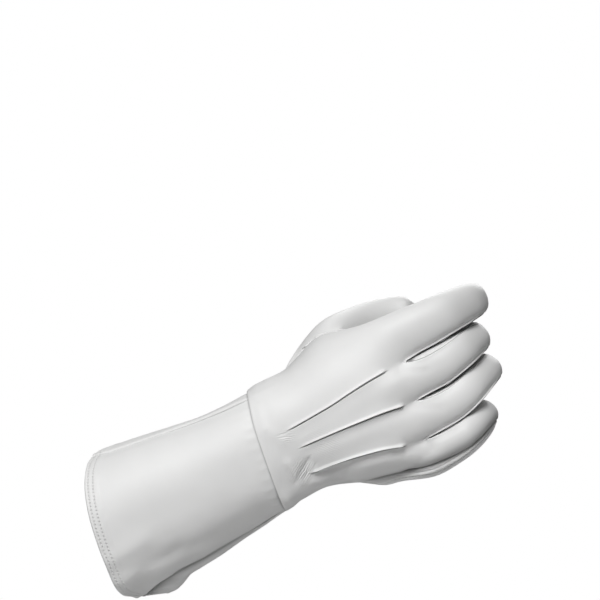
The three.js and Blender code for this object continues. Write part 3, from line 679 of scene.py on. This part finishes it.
def finger_point(finger, s, angle):
    """A point of a finger's skin: 0 degrees is its back, 90 its thumb side."""
    length, course = LENGTHS[finger], COURSES[finger]
    along = finger_direction(finger, max(s, 0))
    whole = int(min(max(math.floor(s), 0), length - 1))
    centre = course[0] + along * s if s < 0 else mix(course[whole], course[whole + 1], s - whole)
    lean = lean_at(finger, s)
    side = np.array([-math.sin(lean), 0, math.cos(lean)])
    backward = np.cross(along, side)
    taper = float(np.clip(s / (length - TIP_LENGTH), 0, 1)) ** FINGERS[finger]["taper"]
    left = tip_shares(float(np.clip((s - length + TIP_LENGTH) / TIP_LENGTH, 0, 1)))
    across, deep = (mix(*sizes, taper) * share / 2
                    for *sizes, share in zip(FINGERS[finger]["size"], FINGERS[finger]["tip"], left))
    turn = math.radians(angle)
    sideways = bent(math.sin(turn))
    across += pressed(finger, -1 if sideways > 0 else 1, centre[0])
    return centre + side * across * sideways + backward * deep * bent(math.cos(turn))


def edge_angle(finger, s, edge, side):
    """How far round a finger its back strip (side 1) or its palm strip (side -1) reaches."""
    to_palm = finger == LITTLE and edge > 0
    tip = smooth((s - LENGTHS[finger] + 2 * TIP_LENGTH) / (2 * TIP_LENGTH))
    reach = mix(FINGERS[finger]["reach"] if edge < 0 else FAR_REACH, 90, tip)
    return -edge * reach if side > 0 or to_palm else -edge * (180 - reach)


def web_pull(finger, q, s, side):
    """Beside the web, the edges of two fingers are drawn together to meet there."""
    neighbour = finger - 1 if q < 0 else finger + 1
    if neighbour < 0 or neighbour > LITTLE:
        return np.zeros(3)
    edge = 1 if q > 0 else -1
    mine = finger_point(finger, 0, edge_angle(finger, 0, edge, side))
    other = finger_point(neighbour, 0, edge_angle(neighbour, 0, -edge, side))
    return (other - mine) * 0.5 * abs(q) ** WEB_PULL_POWER * (1 - smooth(s / WEB_PULL))


def strip_point(finger, q, s, side):
    first, last = edge_angle(finger, s, -1, side), edge_angle(finger, s, 1, side)
    angle = mix(first, last if side > 0 else last + 360, (q + 1) / 2)
    return finger_point(finger, s, angle) + web_pull(finger, q, s, side)


def border_turn(row, border, x):
    """Where the border between two fingers' bands crosses the hand, as a turn across its back."""
    if border == 0:
        return 0.0
    if border > len(POINTS):
        return math.pi
    point = POINTS[border - 1]
    share = np.clip((x - WRIST["x"]) / (point["web_x"] - WRIST["x"]), 0, 1)
    z = mix(point["wrist_z"], point["web_z"], share ** point["bow"])
    return float(turn_for((z - (row[1] + row[2]) / 2) / ((row[1] - row[2]) / 2)))


def web_x(finger, q):
    borders = [INDEX_WEB_X, *(point["web_x"] for point in POINTS), LITTLE_WEB_X]
    return mix(borders[finger], borders[finger + 1], (q + 1) / 2)


def body_point(finger, q, x, side):
    row = table_at(HAND, x)
    turn = mix(border_turn(row, finger, x), border_turn(row, finger + 1, x), (q + 1) / 2)
    seam = mix(row[4], row[3], (1 + bent(math.cos(turn))) / 2)
    depth = (row[5] if side > 0 else row[6]) - seam
    z = (row[1] + row[2]) / 2 + (row[1] - row[2]) / 2 * bent(math.cos(turn))
    return np.array([x, seam + depth * bent(math.sin(turn)), z])


def hand_point(finger, q, share, side):
    web = web_x(finger, q)
    x = mix(float(line_x(body_point(finger, q, WRIST["x"], side))), web, share)
    tube = strip_point(finger, q, x - web, side)
    return mix(body_point(finger, q, x, side), tube, smooth(1 + (x - web) / BLEND_LENGTH))


def finger_stations(finger):
    return [LENGTHS[finger] * (1 - (1 - r / FINGER_ROWS) ** TIP_CROWDING) for r in range(1, FINGER_ROWS + 1)]


def band_rows(finger, side, columns=STRIP_COLUMNS):
    """The rows of one finger's band, from the wrist to its tip."""
    rows = [[hand_point(finger, q, share, side) for q in columns] for share in HAND_ROWS]
    rows += [[strip_point(finger, q, s, side) for q in columns] for s in finger_stations(finger)]
    return np.array(rows)


def joined(bands):
    """Up to the web, the bands of two fingers meet at a border with the same corners."""
    for finger in range(LITTLE):
        ours, theirs = bands[finger][:len(HAND_ROWS), -1], bands[finger + 1][:len(HAND_ROWS), 0]
        ours[:] = theirs[:] = (ours + theirs) / 2
    return bands


class Net:
    """The coarse net of the hand's skin. Corners in one place are one corner."""

    def __init__(self):
        self.points, self.index, self.faces, self.tags, self.cuts = [], {}, [], [], []

    def corner(self, point):
        key = tuple(np.round(point, 3) + 0.0)
        if key not in self.index:
            self.index[key] = len(self.points)
            self.points.append(point)
        return self.index[key]

    def grid(self, tag, rows, cuts, flip=False, is_hole=lambda r, c: False):
        for r in range(len(rows) - 1):
            for c in range(len(rows[r]) - 1):
                if is_hole(r, c):
                    continue
                places = [(r, c), (r, c + 1), (r + 1, c + 1), (r + 1, c)]
                if flip:
                    places.reverse()
                corners = [self.corner(rows[a][b]) for a, b in places]
                kept = [i for i in range(4) if corners[i] != corners[(i + 1) % 4]]
                if len(kept) > 2:
                    self.faces.append([corners[i] for i in kept])
                    self.tags.append(tag)
                    self.cuts.append([cuts[places[i][0]][places[i][1]] for i in kept])


def band_cuts(finger, columns=STRIP_COLUMNS):
    """Flat places of a band's corners: along the hand, and across it from the band's middle."""
    along = [mix(WRIST["x"], WEB_X, share) for share in HAND_ROWS]
    along += [WEB_X + s for s in finger_stations(finger)]
    return [[(x, q) for q in columns] for x in along]


# A tag is the piece's number times ten and the finger's band in it.
PIECES = ["hand_back", "hand_palm", "fourchette_index_middle", "fourchette_middle_ring",
          "fourchette_ring_little", "thumb"]
BACK, PALM, FIRST_FOURCHETTE, THUMB_PIECE = 0, 1, 2, 5

net = Net()
back_bands = joined([band_rows(finger, 1) for finger in range(len(FINGERS))])
for finger, rows in enumerate(back_bands):
    net.grid(BACK * 10 + finger, rows, band_cuts(finger))


# The palm piece is cut from one sheet like the back, but with a hole for the thumb. Below the
# little-finger seam the leather is doubled under, and stands out in a soft roll.

# The roll: place along the hand and then along the little finger, and size.
PALM_ROLL = np.array([
    [146, 0.0], [154, 3.4], [163, 7.4], [173, 7.1], [184, 6.6], [198, 7.4],
    [210, 5.9], [221, 4.7], [238, 3.5], [248, 2.2], [256, 0.7], [259, 0.0],
])
ROLL_REACH = 1.3
ROLL_COLUMNS = [-1, -0.86, -0.5, 0, 0.28, 0.46, 0.62, 0.77, 0.9, 1]
HOLE = {"first_row": 5, "last_row": 12, "first_column": 1, "last_column": 6}

palm_columns = [STRIP_COLUMNS] * LITTLE + [ROLL_COLUMNS]
palm_bands = [band_rows(finger, -1, columns) for finger, columns in enumerate(palm_columns)]
rolled_places = [None] * len(HAND_ROWS) + [FINGERS[LITTLE]["centre"][0] + s for s in finger_stations(LITTLE)]
for row, place in zip(palm_bands[LITTLE], rolled_places):
    for q, point in zip(ROLL_COLUMNS, row):
        roll = table_at(PALM_ROLL, np.clip(place or point[0], *PALM_ROLL[[0, -1], 0]))[1]
        point[2] -= roll * math.sin(math.pi * min((1 - q) / ROLL_REACH, 1))
palm_bands = joined(palm_bands)
for finger, rows in enumerate(palm_bands):
    net.grid(PALM * 10 + finger, rows, band_cuts(finger, palm_columns[finger]), True,
             lambda r, c: finger == 0 and HOLE["first_row"] <= r < HOLE["last_row"]
             and HOLE["first_column"] <= c < HOLE["last_column"])


# The strips between the fingers, called fourchettes, are cut from the same leather. They run down
# one finger's side, round the web and up the side of the next, and give each finger its depth.

FOURCHETTE_COLUMNS = 3
CROTCH_DEPTH = 7


def side_point(finger, edge, s, share):
    start, end = edge_angle(finger, s, edge, 1), edge_angle(finger, s, edge, -1)
    return (finger_point(finger, s, mix(start, end, share))
            + web_pull(finger, edge, s, 1) * (1 - share) + web_pull(finger, edge, s, -1) * share)


def fourchette_rows(finger):
    rows, cuts = [], []
    for c in range(FOURCHETTE_COLUMNS + 1):
        share = c / FOURCHETTE_COLUMNS
        crotch = CROTCH_DEPTH * math.sin(math.pi * share)
        places = [[mix(crotch, LENGTHS[which], s / LENGTHS[which]) for s in finger_stations(which)]
                  for which in (finger, finger + 1)]
        down = [side_point(finger, 1, s, share) for s in places[0]][::-1]
        web = mix(side_point(finger, 1, crotch, share), side_point(finger + 1, -1, crotch, share), 0.5)
        rows.append([*down, web, *(side_point(finger + 1, -1, s, share) for s in places[1])])
        cuts.append([(s, share) for s in [*places[0][::-1], crotch, *places[1]]])
    for row in rows:
        row[0], row[-1] = rows[0][0], rows[0][-1]
    rows[0][FINGER_ROWS] = back_bands[finger][len(HAND_ROWS) - 1, -1]
    rows[-1][FINGER_ROWS] = palm_bands[finger][len(HAND_ROWS) - 1, -1]
    return rows, cuts


for finger in range(LITTLE):
    net.grid((FIRST_FOURCHETTE + finger) * 10, *fourchette_rows(finger))


# The thumb is a leather tube of its own, sewn into the hole in the palm and curved round towards
# it. Its rows lead from the hole's edge to the tip, where a small cap closes it.

# Rings of the thumb: step, middle x, y and z, width, thickness.
THUMB = np.array([
    [0, 152, 0.0, 27.0, 40.0, 34.0],
    [1, 162, 10.0, 38.0, 33.0, 29.0],
    [2, 172, 22.0, 44.2, 27.0, 25.0],
    [3, 182, 34.0, 45.7, 24.5, 23.0],
    [4, 194, 45.0, 45.0, 24.0, 21.5],
    [5, 208, 52.5, 42.5, 23.5, 20.0],
    [6, 223, 55.0, 38.5, 21.0, 17.5],
])
THUMB[:, 0] /= THUMB[-1, 0]
THUMB_ROWS = 13
THUMB_CROWDING = 1.25
THUMB_TIP = {"length": 10, "end": 0.98}
THUMB_BLEND = 0.34
# The curved centre line is this much longer than its chord, and is looked at over this step.
LONGER_THAN_CHORD = 1.12
LOOK = 0.03
# The cap: how far its middle stands out, and in the flat cut the distance between the thumb's rows
# and the places of a face's corners.
CAP_OUT = (0.6, 0.1, -0.2)
CUT_STEP = 6.0
CAP_CUT = [(80, 0.5), (78, 0.2), (78, 0.4), (78, 0.6)]


def thumb_frame(step):
    """A row of the thumb's table and the two directions across the thumb there."""
    middle = min(max(step, LOOK), 1 - LOOK)
    along = unit(table_at(THUMB, middle + LOOK)[1:4] - table_at(THUMB, middle - LOOK)[1:4])
    up = unit(np.array([0, 0, 1.0]) - along * along[2])
    return table_at(THUMB, step), up, np.cross(up, along)


first_row, last_row = HOLE["first_row"], HOLE["last_row"]
first_column, last_column = HOLE["first_column"], HOLE["last_column"]
hole_places = ([(first_row, c) for c in range(first_column, last_column)]
               + [(r, last_column) for r in range(first_row, last_row)]
               + [(last_row, c) for c in range(last_column, first_column, -1)]
               + [(r, first_column) for r in range(last_row, first_row, -1)])
hole = np.array([palm_bands[0][r, c] for r, c in hole_places])
_, root_up, root_across = thumb_frame(0)
rays = hole - hole.mean(axis=0)
turns = np.arctan2(rays @ root_up, rays @ root_across)
thumb_length = np.linalg.norm(THUMB[-1, 1:4] - THUMB[0, 1:4]) * LONGER_THAN_CHORD
thumb_rings = [hole]
for r in range(1, THUMB_ROWS + 1):
    step = 1 - (1 - r / THUMB_ROWS) ** THUMB_CROWDING
    row, up, across = thumb_frame(step)
    tip = THUMB_TIP["end"] * float(np.clip(1 - (1 - step) * thumb_length / THUMB_TIP["length"], 0, 1))
    wide, deep = (size * share / 2 for size, share in zip(row[4:], tip_shares(tip)))
    tube = (row[1:4] + up * (wide * bent(np.sin(turns)))[:, None]
            + across * (deep * bent(np.cos(turns)))[:, None])
    thumb_rings.append(mix(hole, tube, smooth(step / THUMB_BLEND)))
closed = [[*ring, ring[0]] for ring in thumb_rings]
closed_cuts = [[(r * CUT_STEP, c / len(hole)) for c in range(len(hole) + 1)] for r in range(len(closed))]
net.grid(THUMB_PIECE * 10, closed, closed_cuts, True)
cap = [net.corner(point) for point in thumb_rings[-1]][::-1]
middle = net.corner(np.mean(thumb_rings[-1], axis=0) + np.array(CAP_OUT))
for i in range(0, len(cap), 2):
    net.faces.append([middle, cap[i], cap[(i + 1) % len(cap)], cap[(i + 2) % len(cap)]])
    net.tags.append(THUMB_PIECE * 10)
    net.cuts.append(CAP_CUT)


# The smooth skin of the hand: thin white leather, sewn together from inside. The net is smoothed,
# the seams, the points and the folds are worked into it, painted shade and painted highlights are laid on
# it, and it is parted into its six pieces.


def smoothed(points, levels):
    """The net as a smooth surface, by Catmull and Clark's rule."""
    mesh = bpy.data.meshes.new("hand_net")
    mesh.from_pydata(points.tolist(), [], net.faces)
    mesh.attributes.new("tag", "INT", "FACE").data.foreach_set("value", net.tags)
    flat = np.concatenate([np.array(cut, np.float32) for cut in net.cuts])
    mesh.uv_layers.new(name="cut").data.foreach_set("uv", flat.ravel())
    holder = placed("hand_net", mesh)
    rule = holder.modifiers.new("smooth", "SUBSURF")
    rule.levels = rule.render_levels = levels
    rule.uv_smooth = "PRESERVE_BOUNDARIES"
    return made_by_modifiers(holder)


def read_all(data, label, width, kind):
    """One value of every element of a mesh, as rows of the given width."""
    values = np.empty(len(data) * width, kind)
    data.foreach_get(label, values)
    return values.reshape(-1, width)


# Smoothing draws the net in, so the net is first let out until the surface passes its corners.
LET_OUT, LET_OUT_ROUNDS = 0.85, 3
wanted = np.array(net.points)
cage = wanted.copy()
for _ in range(LET_OUT_ROUNDS):
    trial = smoothed(cage, 1)
    cage += LET_OUT * (wanted - read_all(trial.vertices, "co", 3, float)[:len(wanted)])
    bpy.data.meshes.remove(trial)
skin = smoothed(cage, 3)
points = read_all(skin.vertices, "co", 3, float)
faces = read_all(skin.loops, "vertex_index", 1, np.int64).reshape(-1, 4)
tags = read_all(skin.attributes["tag"].data, "value", 1, np.int32).ravel()
cut = read_all(skin.uv_layers["cut"].data, "uv", 2, np.float32).reshape(-1, 4, 2)
bpy.data.meshes.remove(skin)
piece_of, band_of = tags // 10, tags % 10
edges = np.unique(np.sort(np.concatenate([faces[:, [i, (i + 1) % 4]] for i in range(4)]), axis=1), axis=0)

# Distances over the surface are right up to this many edges away.
WALK_STEPS = 24


def corner_normals(points):
    """Averaged normals at each corner of the skin."""
    first, second, third, fourth = (points[faces[:, corner]] for corner in range(4))
    across = unit(np.cross(third - first, fourth - second), 1e-12)
    normals = np.zeros_like(points)
    for corner in range(4):
        np.add.at(normals, faces[:, corner], across)
    return unit(normals, 1e-12)


def touched(selected):
    """Which corners belong to at least one of the selected faces."""
    mask = np.zeros(len(points), bool)
    mask[faces[selected].ravel()] = True
    return mask


def band(piece, finger):
    return touched((piece_of == piece) & (band_of == finger))


def walk_from(starts, allowed=None):
    """The distance over the surface from the nearest start, within the allowed corners."""
    away = np.where(starts, 0.0, np.inf)
    usable = edges if allowed is None else edges[allowed[edges[:, 0]] & allowed[edges[:, 1]]]
    lengths = np.linalg.norm(points[usable[:, 0]] - points[usable[:, 1]], axis=1)
    for _ in range(WALK_STEPS):
        ahead = away.copy()
        for here, there in ((0, 1), (1, 0)):
            np.minimum.at(ahead, usable[:, there], away[usable[:, here]] + lengths)
        away = ahead
    return np.minimum(away, 1e3)


def relaxed(points, weight, rounds):
    """Evens out the surface where the weight is above nought."""
    valence = np.bincount(edges.ravel(), minlength=len(points))
    for _ in range(rounds):
        total = np.zeros_like(points)
        for here, there in ((0, 1), (1, 0)):
            np.add.at(total, edges[:, here], points[edges[:, there]])
        points = points + (total / valence[:, None] - points) * (0.5 * weight)[:, None]
    return points


def nearer_than(depth, over):
    """One where the skin lies nearer to the viewer than a depth, with a soft start."""
    return smooth((depth - points[:, 1]) / over)


def with_painted_shade(amount):
    """The painted shade of the skin with one more place of painted shade in it."""
    return np.maximum(painted_shading, amount)


owners = [touched(piece_of == number) for number in range(len(PIECES))]
on_back, on_palm = owners[BACK], owners[PALM]
on_seam = sum(owner.astype(int) for owner in owners) > 1

# Between the ends of the points and the slits the leather is stretched smooth over the knuckles.
KNUCKLES = (150, 30, 222, 10)
over_knuckles = within(points[:, 0], *KNUCKLES) * (on_back & ~on_seam) * smooth(walk_from(on_seam) / 5)
points = relaxed(points, over_knuckles, 150)
normals = corner_normals(points)

# Along a seam the two edges are turned in, which leaves a narrow line between two soft lips. Both are
# fainter at the fingertips. The line also gets painted shade, which is not faded there. Profiles are again
# height, distance and half width.
SEAM_LIPS, LIPS_SHADE = [(0.18, 1.4, 0.8), (-0.4, 0, 0.4)], [(0.6, 0, 0.35)]
AT_TIPS = 0.25
from_seam = walk_from(on_seam)
to_tip = np.min([np.linalg.norm(points - course[-1], axis=1) for course in COURSES], axis=0)
relief = bumps(from_seam, SEAM_LIPS) * mix(AT_TIPS, 1, smooth((to_tip - 8) / 8))
painted_shading = bumps(from_seam, LIPS_SHADE)

# On the far side of each finger the edge of the slit is a narrow raised welt with a painted highlight,
# over a gap darkened with painted shade, with a line of painted shade beside the welt, and the edge of the
# next finger rises in a lip to meet it.
LIPS, LIP_WIDTH = (0.3, 0.5, 1.3), 2.6
WELT = [(0.9, 0.85, 0.55), (-0.2, 2.8, 1.2)]
WELT_PAINTED_HIGHLIGHT, WELT_SHADE, GAP_SHADE = [(0.16, 0.8, 0.5)], [(0.35, 2.1, 0.35)], 0.8
on_view = nearer_than(-6, 14)
welt, lip, painted_highlight = np.zeros((3, len(points)))
for finger in range(LITTLE):
    between = owners[FIRST_FOURCHETTE + finger]
    strip, next_strip = band(BACK, finger), band(BACK, finger + 1)
    from_line = walk_from(strip & between, strip)
    inside = walk_from(strip & between, between)
    welt += on_view * bumps(from_line, WELT)
    painted_highlight += on_view * bumps(from_line, WELT_PAINTED_HIGHLIGHT)
    painted_shading = with_painted_shade(GAP_SHADE * within(inside, 0, 0.8, 6, 3))
    painted_shading = with_painted_shade(on_view * bumps(from_line, WELT_SHADE))
    lip += LIPS[finger] * bell(walk_from(next_strip & between, next_strip | between), LIP_WIDTH)

# The three points are raised folds, each sewn from inside along its lower edge, where it drops sharply to
# the leather below. The leather is drawn in below them, and stands out at their ends. Painted shade lines
# the drop, and a painted highlight runs along each crest.
POINT_FOLD = [(0.68, 0, 1.25), (0.32, 0, 4.0)]
POINT_GROOVE, POINT_HOLLOW = [(-0.6, -0.42, 0.38)], [(-1, -4, 3.2)]
POINT_SHADE, POINT_PAINTED_HIGHLIGHT = [(0.88, -0.3, 0.38)], [(0.14, 0.7, 0.8)]
END_ALONG, END_ACROSS = [(0.35, -3.5, 2.4)], [(1, 0.9, 1.0)]
OVERHANG = 0.8
for number, point in enumerate(POINTS):
    above, below = band(BACK, number), band(BACK, number + 1)
    away = walk_from(above & below, on_back)
    signed = np.where(above, away, -away)
    up = np.maximum(signed, 0)
    x, start, end = points[:, 0], point["start"], point["end"]
    present = within(x, start, 7, end, 4) * on_back
    height = mix(*point["height"], smooth((x - start) / (end - start)))
    fold = height * smooth((signed + 0.2) / 0.55) * bumps(up, POINT_FOLD)
    relief += present * (fold + bumps(signed, POINT_GROOVE))
    drawn = within(x, start, 10, end + 12, 26) * on_back
    relief += drawn * point["hollow"] * smooth(-signed / 2) * bumps(signed, POINT_HOLLOW)
    relief += height * bumps(x - end, END_ALONG) * bumps(signed, END_ACROSS) * on_back
    overhang = OVERHANG * height * np.maximum(-normals[:, 2], 0)
    painted_shading = with_painted_shade(present * bumps(signed + overhang, POINT_SHADE))
    painted_highlight += present * bumps(up, POINT_PAINTED_HIGHLIGHT) * above

# Where the hand is sewn over the gauntlet its edge is turned under, less so near the thumb side, and the
# leather swells a little just past it. The edge is darkened with painted shade.
WRIST_SINK, WRIST_SWELL, HAND_EDGE_SHADE = [(0.75, 0, 11)], [(0.3, 5, 3), (-0.15, 10, 2.5)], [(0.4, 0, 0.3)]
LEAST_SINK, EDGE_SINKS, EDGE_WIDTH = 0.3, (0.9, 0.15), 0.6
from_wrist = np.maximum(points[:, 0] - line_x(points), 0)
lower = mix(LEAST_SINK, 1, smooth((30 - points[:, 2]) / 40))
relief -= lower * bumps(from_wrist, WRIST_SINK) + mix(*EDGE_SINKS, lower) * bell(from_wrist, EDGE_WIDTH)
relief += bumps(from_wrist, WRIST_SWELL)
painted_shading = with_painted_shade(bumps(from_wrist, HAND_EDGE_SHADE))

# Along the roll the palm leather is doubled under, which leaves a narrow welt inside the outline
# and soft ribs beside it, with painted shade in the groove of the stitch row. A corner's distance from the
# outline is taken across the roll.
ROLL_ROW = 1.9
ROLL_RIBS = [(0.35, 0.8, 0.55), (-0.45, ROLL_ROW, 0.4), (0.3, 3.0, 0.55), (-0.3, 4.2, 0.45), (0.2, 5.4, 0.6)]
ROLL_SHADE = [(0.3, ROLL_ROW, 0.35)]
ROLL_FROM_TO = (168, 16, 252, 12)
FAR_AWAY = 50.0
roll_faces = (piece_of == PALM) & (band_of == LITTLE)
on_roll = touched(roll_faces)
roll_corners = np.flatnonzero(on_roll)
along_roll, across_roll = np.zeros((2, len(points)))
along_roll[faces[roll_faces]] = cut[roll_faces][..., 0]
across_roll[faces[roll_faces]] = cut[roll_faces][..., 1]
along, across = along_roll[roll_corners], across_roll[roll_corners]
lean = np.array([lean_at(LITTLE, place - WEB_X) for place in along])
outward = np.sin(lean) * points[roll_corners, 0] - np.cos(lean) * points[roll_corners, 2]
bins = np.round(along).astype(int)
outline = []
for number in np.unique(bins):
    here = np.flatnonzero((bins == number) & (across > 0))
    best = here[np.argmax(outward[here])]
    outline.append((along[best], outward[best], across[best]))
places, farthest, farthest_q = np.array(sorted(outline)).T
from_outline = np.full(len(points), FAR_AWAY)
from_outline[roll_corners] = np.interp(along, places, farthest) - outward
on_face = (on_roll * smooth((across_roll - np.interp(along_roll, places, farthest_q) + 0.1) / 0.1)
           * within(along_roll, *ROLL_FROM_TO))
relief += on_face * bumps(from_outline, ROLL_RIBS)
painted_shading = with_painted_shade(on_face * bumps(from_outline, ROLL_SHADE))

# Above the roll runs a deep crease, where the back piece is sewn to the palm. Painted shade darkens it,
# widely on the back piece's side.
CREASE = {"from_to": (148, 14, 248, 10), "painted_shading": 0.55, "on_back": 5.4, "on_palm": 1.6}
CREASE_SWELL, CREASE_SINK = [(0.9, 5.0, 2.4)], [(1.0, 0, 2.6)]
from_crease = walk_from(band(BACK, LITTLE) & on_roll)
in_crease = within(points[:, 0], *CREASE["from_to"])
forward = in_crease * (on_palm * bumps(from_crease, CREASE_SWELL) - bumps(from_crease, CREASE_SINK))
crease_width = np.where(on_back, CREASE["on_back"], CREASE["on_palm"])
painted_shading = with_painted_shade(in_crease * CREASE["painted_shading"] * bell(from_crease, crease_width))

# Soft hollows and swellings of the leather on the back of the hand, in the measures of the back
# panel's folds. Wider swellings towards the back lie below the points at the wrist and beside the
# little finger's knuckle.
HAND_FOLDS = [
    (136, -28, 145, -31, 4.5, -1.3),
    (158, -32, 168, -33, 5.0, 0.5),
    (126, -28, 127, -29, 4.5, 0.8),
    (116, -12, 117, -24, 3.4, 0.9),
    (127, -15, 115, -24, 1.8, -0.8),
    (129, -16.5, 119, -25.5, 0.8, -0.3),
    (130.5, -18.5, 122, -27, 0.7, -0.25),
    (130, -13, 124, -18, 0.6, -0.25),
    (124.5, -21, 118.5, -24, 0.45, -0.3),
    (117, 6.2, 121.5, 5.2, 0.5, -0.25),
    (117.5, 4.4, 122, 3.2, 0.5, -0.25),
    (112, 12, 118, 2, 4.0, 0.5),
    (199, 11, 213, 4.5, 2.5, -0.4),
    (188, 4, 194, 5, 5.0, 0.5),
    (196, -11, 212, -19.5, 2.5, -0.35),
    (197, -40, 180, -46.5, 5.4, -1.5),
    (112, 33.5, 128, 34, 1.4, 0.3),
]
HAND_SWELLS = [
    (108, -36, 127, -35, 8.5, 5.8),
    (160, -33, 170, -35, 6.0, 1.0),
]
relief += ridge(points, HAND_FOLDS) * nearer_than(-12, 12) * on_back
forward += ridge(points, HAND_SWELLS) * nearer_than(-6, 13) * on_back
towards_back = unit(normals + np.array([0, -1.0, 0]), 0.3)
points = points + normals * relief[:, None] + towards_back * welt[:, None]
points[:, 1] -= lip + forward

# Where the points end at the wrist the leather is drawn into fine wrinkles: middle and radius in
# metres, the direction across them, and their height.
WRINKLES = [
    ((0.1215, -0.0405, -0.0195), 0.0062, (0.567, 0, -0.824), 0.00015),
    ((0.1215, -0.0415, 0.0030), 0.0036, (0.25, 0, 0.97), 0.00012),
    ((0.1400, -0.0415, -0.0105), 0.0080, (0.75, 0, 0.66), 0.00004),
]
hand_leather = white_leather("hand_leather", creases=0.6, wrinkles=WRINKLES)
THIN_EDGE, THIN_OVER = 0.35, 3
normals = corner_normals(points)
thickness = LEATHER * mix(THIN_EDGE, 1, smooth(from_wrist / THIN_OVER))
# Each piece gets the painted shade less the painted highlights.
for number, name in enumerate(PIECES):
    chosen = piece_of == number
    used, own_faces = np.unique(faces[chosen], return_inverse=True)
    leather_wall(name, points[used], own_faces.reshape(-1, 4), normals[used], thickness[used],
                 cut[chosen], (painted_shading - painted_highlight)[used], hand_leather)


# A row of white thread is sewn through the doubled leather in the groove of the roll, just inside
# the glove's outline.

ROW_STARTS, ROW_ENDS = 176, 246
EVENED_ROUNDS = 6
row = []
for number in range(ROW_STARTS, ROW_ENDS):
    here = roll_corners[(bins == number) & (on_face[roll_corners] > 0.2)]
    if len(here) > 2:
        here = here[np.argsort(from_outline[here])]
        row.append([np.interp(ROLL_ROW, from_outline[here], values[here])
                    for values in (*points.T, *normals.T)])
row = np.array(row)
for _ in range(EVENED_ROUNDS):
    row[1:-1] = (row[:-2] + 2 * row[1:-1] + row[2:]) / 4
stitches("palm_stitches", [(row[:, :3], row[:, 3:], walked_along(row[:, :3]))], 0.02)


# The studio: a plain pale floor and three soft lights, the strongest from the upper left, a weaker
# one from the left and one from behind. The room is pale, and the camera sees it as plain white.
# The camera looks squarely at the back of the hand, turned so that the forearm rises to the right.

IMAGE_TURN = math.radians(24.5)
VIEW_CENTRE = Vector((0.1624, -0.01, 0.0743))
FRAME_WIDTH = 0.36
CAMERA_AWAY = 6.0
SENSOR = 36

image_up = Vector((math.sin(IMAGE_TURN), 0, math.cos(IMAGE_TURN)))
image_right = Vector((math.cos(IMAGE_TURN), 0, -math.sin(IMAGE_TURN)))
towards_viewer = Vector((0, -1, 0))

camera_data = bpy.data.cameras.new("camera")
camera_data.sensor_width = SENSOR
camera_data.lens = SENSOR * CAMERA_AWAY / FRAME_WIDTH
camera = placed("camera", camera_data)
camera.location = VIEW_CENTRE + towards_viewer * CAMERA_AWAY
camera.rotation_euler = Matrix((image_right, image_up, towards_viewer)).transposed().to_euler()
scene.camera = camera


def soft_light(name, place, size, power):
    data = bpy.data.lights.new(name, "AREA")
    data.shape = "DISK"
    data.size = size
    data.energy = power
    light = placed(name, data)
    light.location = VIEW_CENTRE + place
    light.rotation_euler = place.to_track_quat("Z", "Y").to_euler()


soft_light("key", -image_right * 0.25 + image_up * 1.4 + towards_viewer * 1.45, 1.4, 37)
soft_light("left_fill", -image_right * 1.6 + image_up * 0.1 + towards_viewer * 1.4, 1.2, 13)
soft_light("back_light", image_right * 0.4 + image_up * 1.0 - towards_viewer * 1.7, 1.4, 17)

# The room is palest above the viewer and a little to the left.
PALEST = (image_up * 0.85 + towards_viewer * 0.4 - image_right * 0.3).normalized()
world = bpy.data.worlds.new("white_room")
scene.world = world
world.use_nodes = True
tree = world.node_tree
way = add_node(tree, "ShaderNodeTexCoord").outputs["Generated"]
level = add_node(tree, "ShaderNodeVectorMath", {0: way, 1: PALEST}, operation="DOT_PRODUCT").outputs["Value"]
glow = add_node(tree, "ShaderNodeMapRange",
                {"Value": level, "From Min": -0.6, "From Max": 1.0, "To Min": 0.02, "To Max": 0.08},
                interpolation_type="SMOOTHSTEP").outputs["Result"]
room = feed(tree, tree.nodes["Background"], {"Color": glow}).outputs["Background"]
seen = add_node(tree, "ShaderNodeBackground", {"Color": (1, 1, 1, 1)}).outputs["Background"]
rays_from = add_node(tree, "ShaderNodeLightPath").outputs["Is Camera Ray"]
pick = add_node(tree, "ShaderNodeMixShader", {"Fac": rays_from, 1: room, 2: seen}).outputs["Shader"]
feed(tree, tree.nodes["World Output"], {"Surface": pick})
scene.view_settings.view_transform = "Standard"

FLOOR = {"radius": 0.8, "x": 0.13, "z": -0.68, "sides": 64}
floor_mesh = bpy.data.meshes.new("floor")
around = [2 * math.pi * i / FLOOR["sides"] for i in range(FLOOR["sides"])]
corners = [(math.cos(turn) * FLOOR["radius"] + FLOOR["x"], math.sin(turn) * FLOOR["radius"], FLOOR["z"])
           for turn in around]
floor_mesh.from_pydata(corners, [], [list(range(FLOOR["sides"]))])
pale = plain_material("pale_floor", {"Base Color": (0.9, 0.9, 0.9, 1), "Roughness": 0.8})
floor_mesh.materials.append(pale)
placed("floor", floor_mesh)
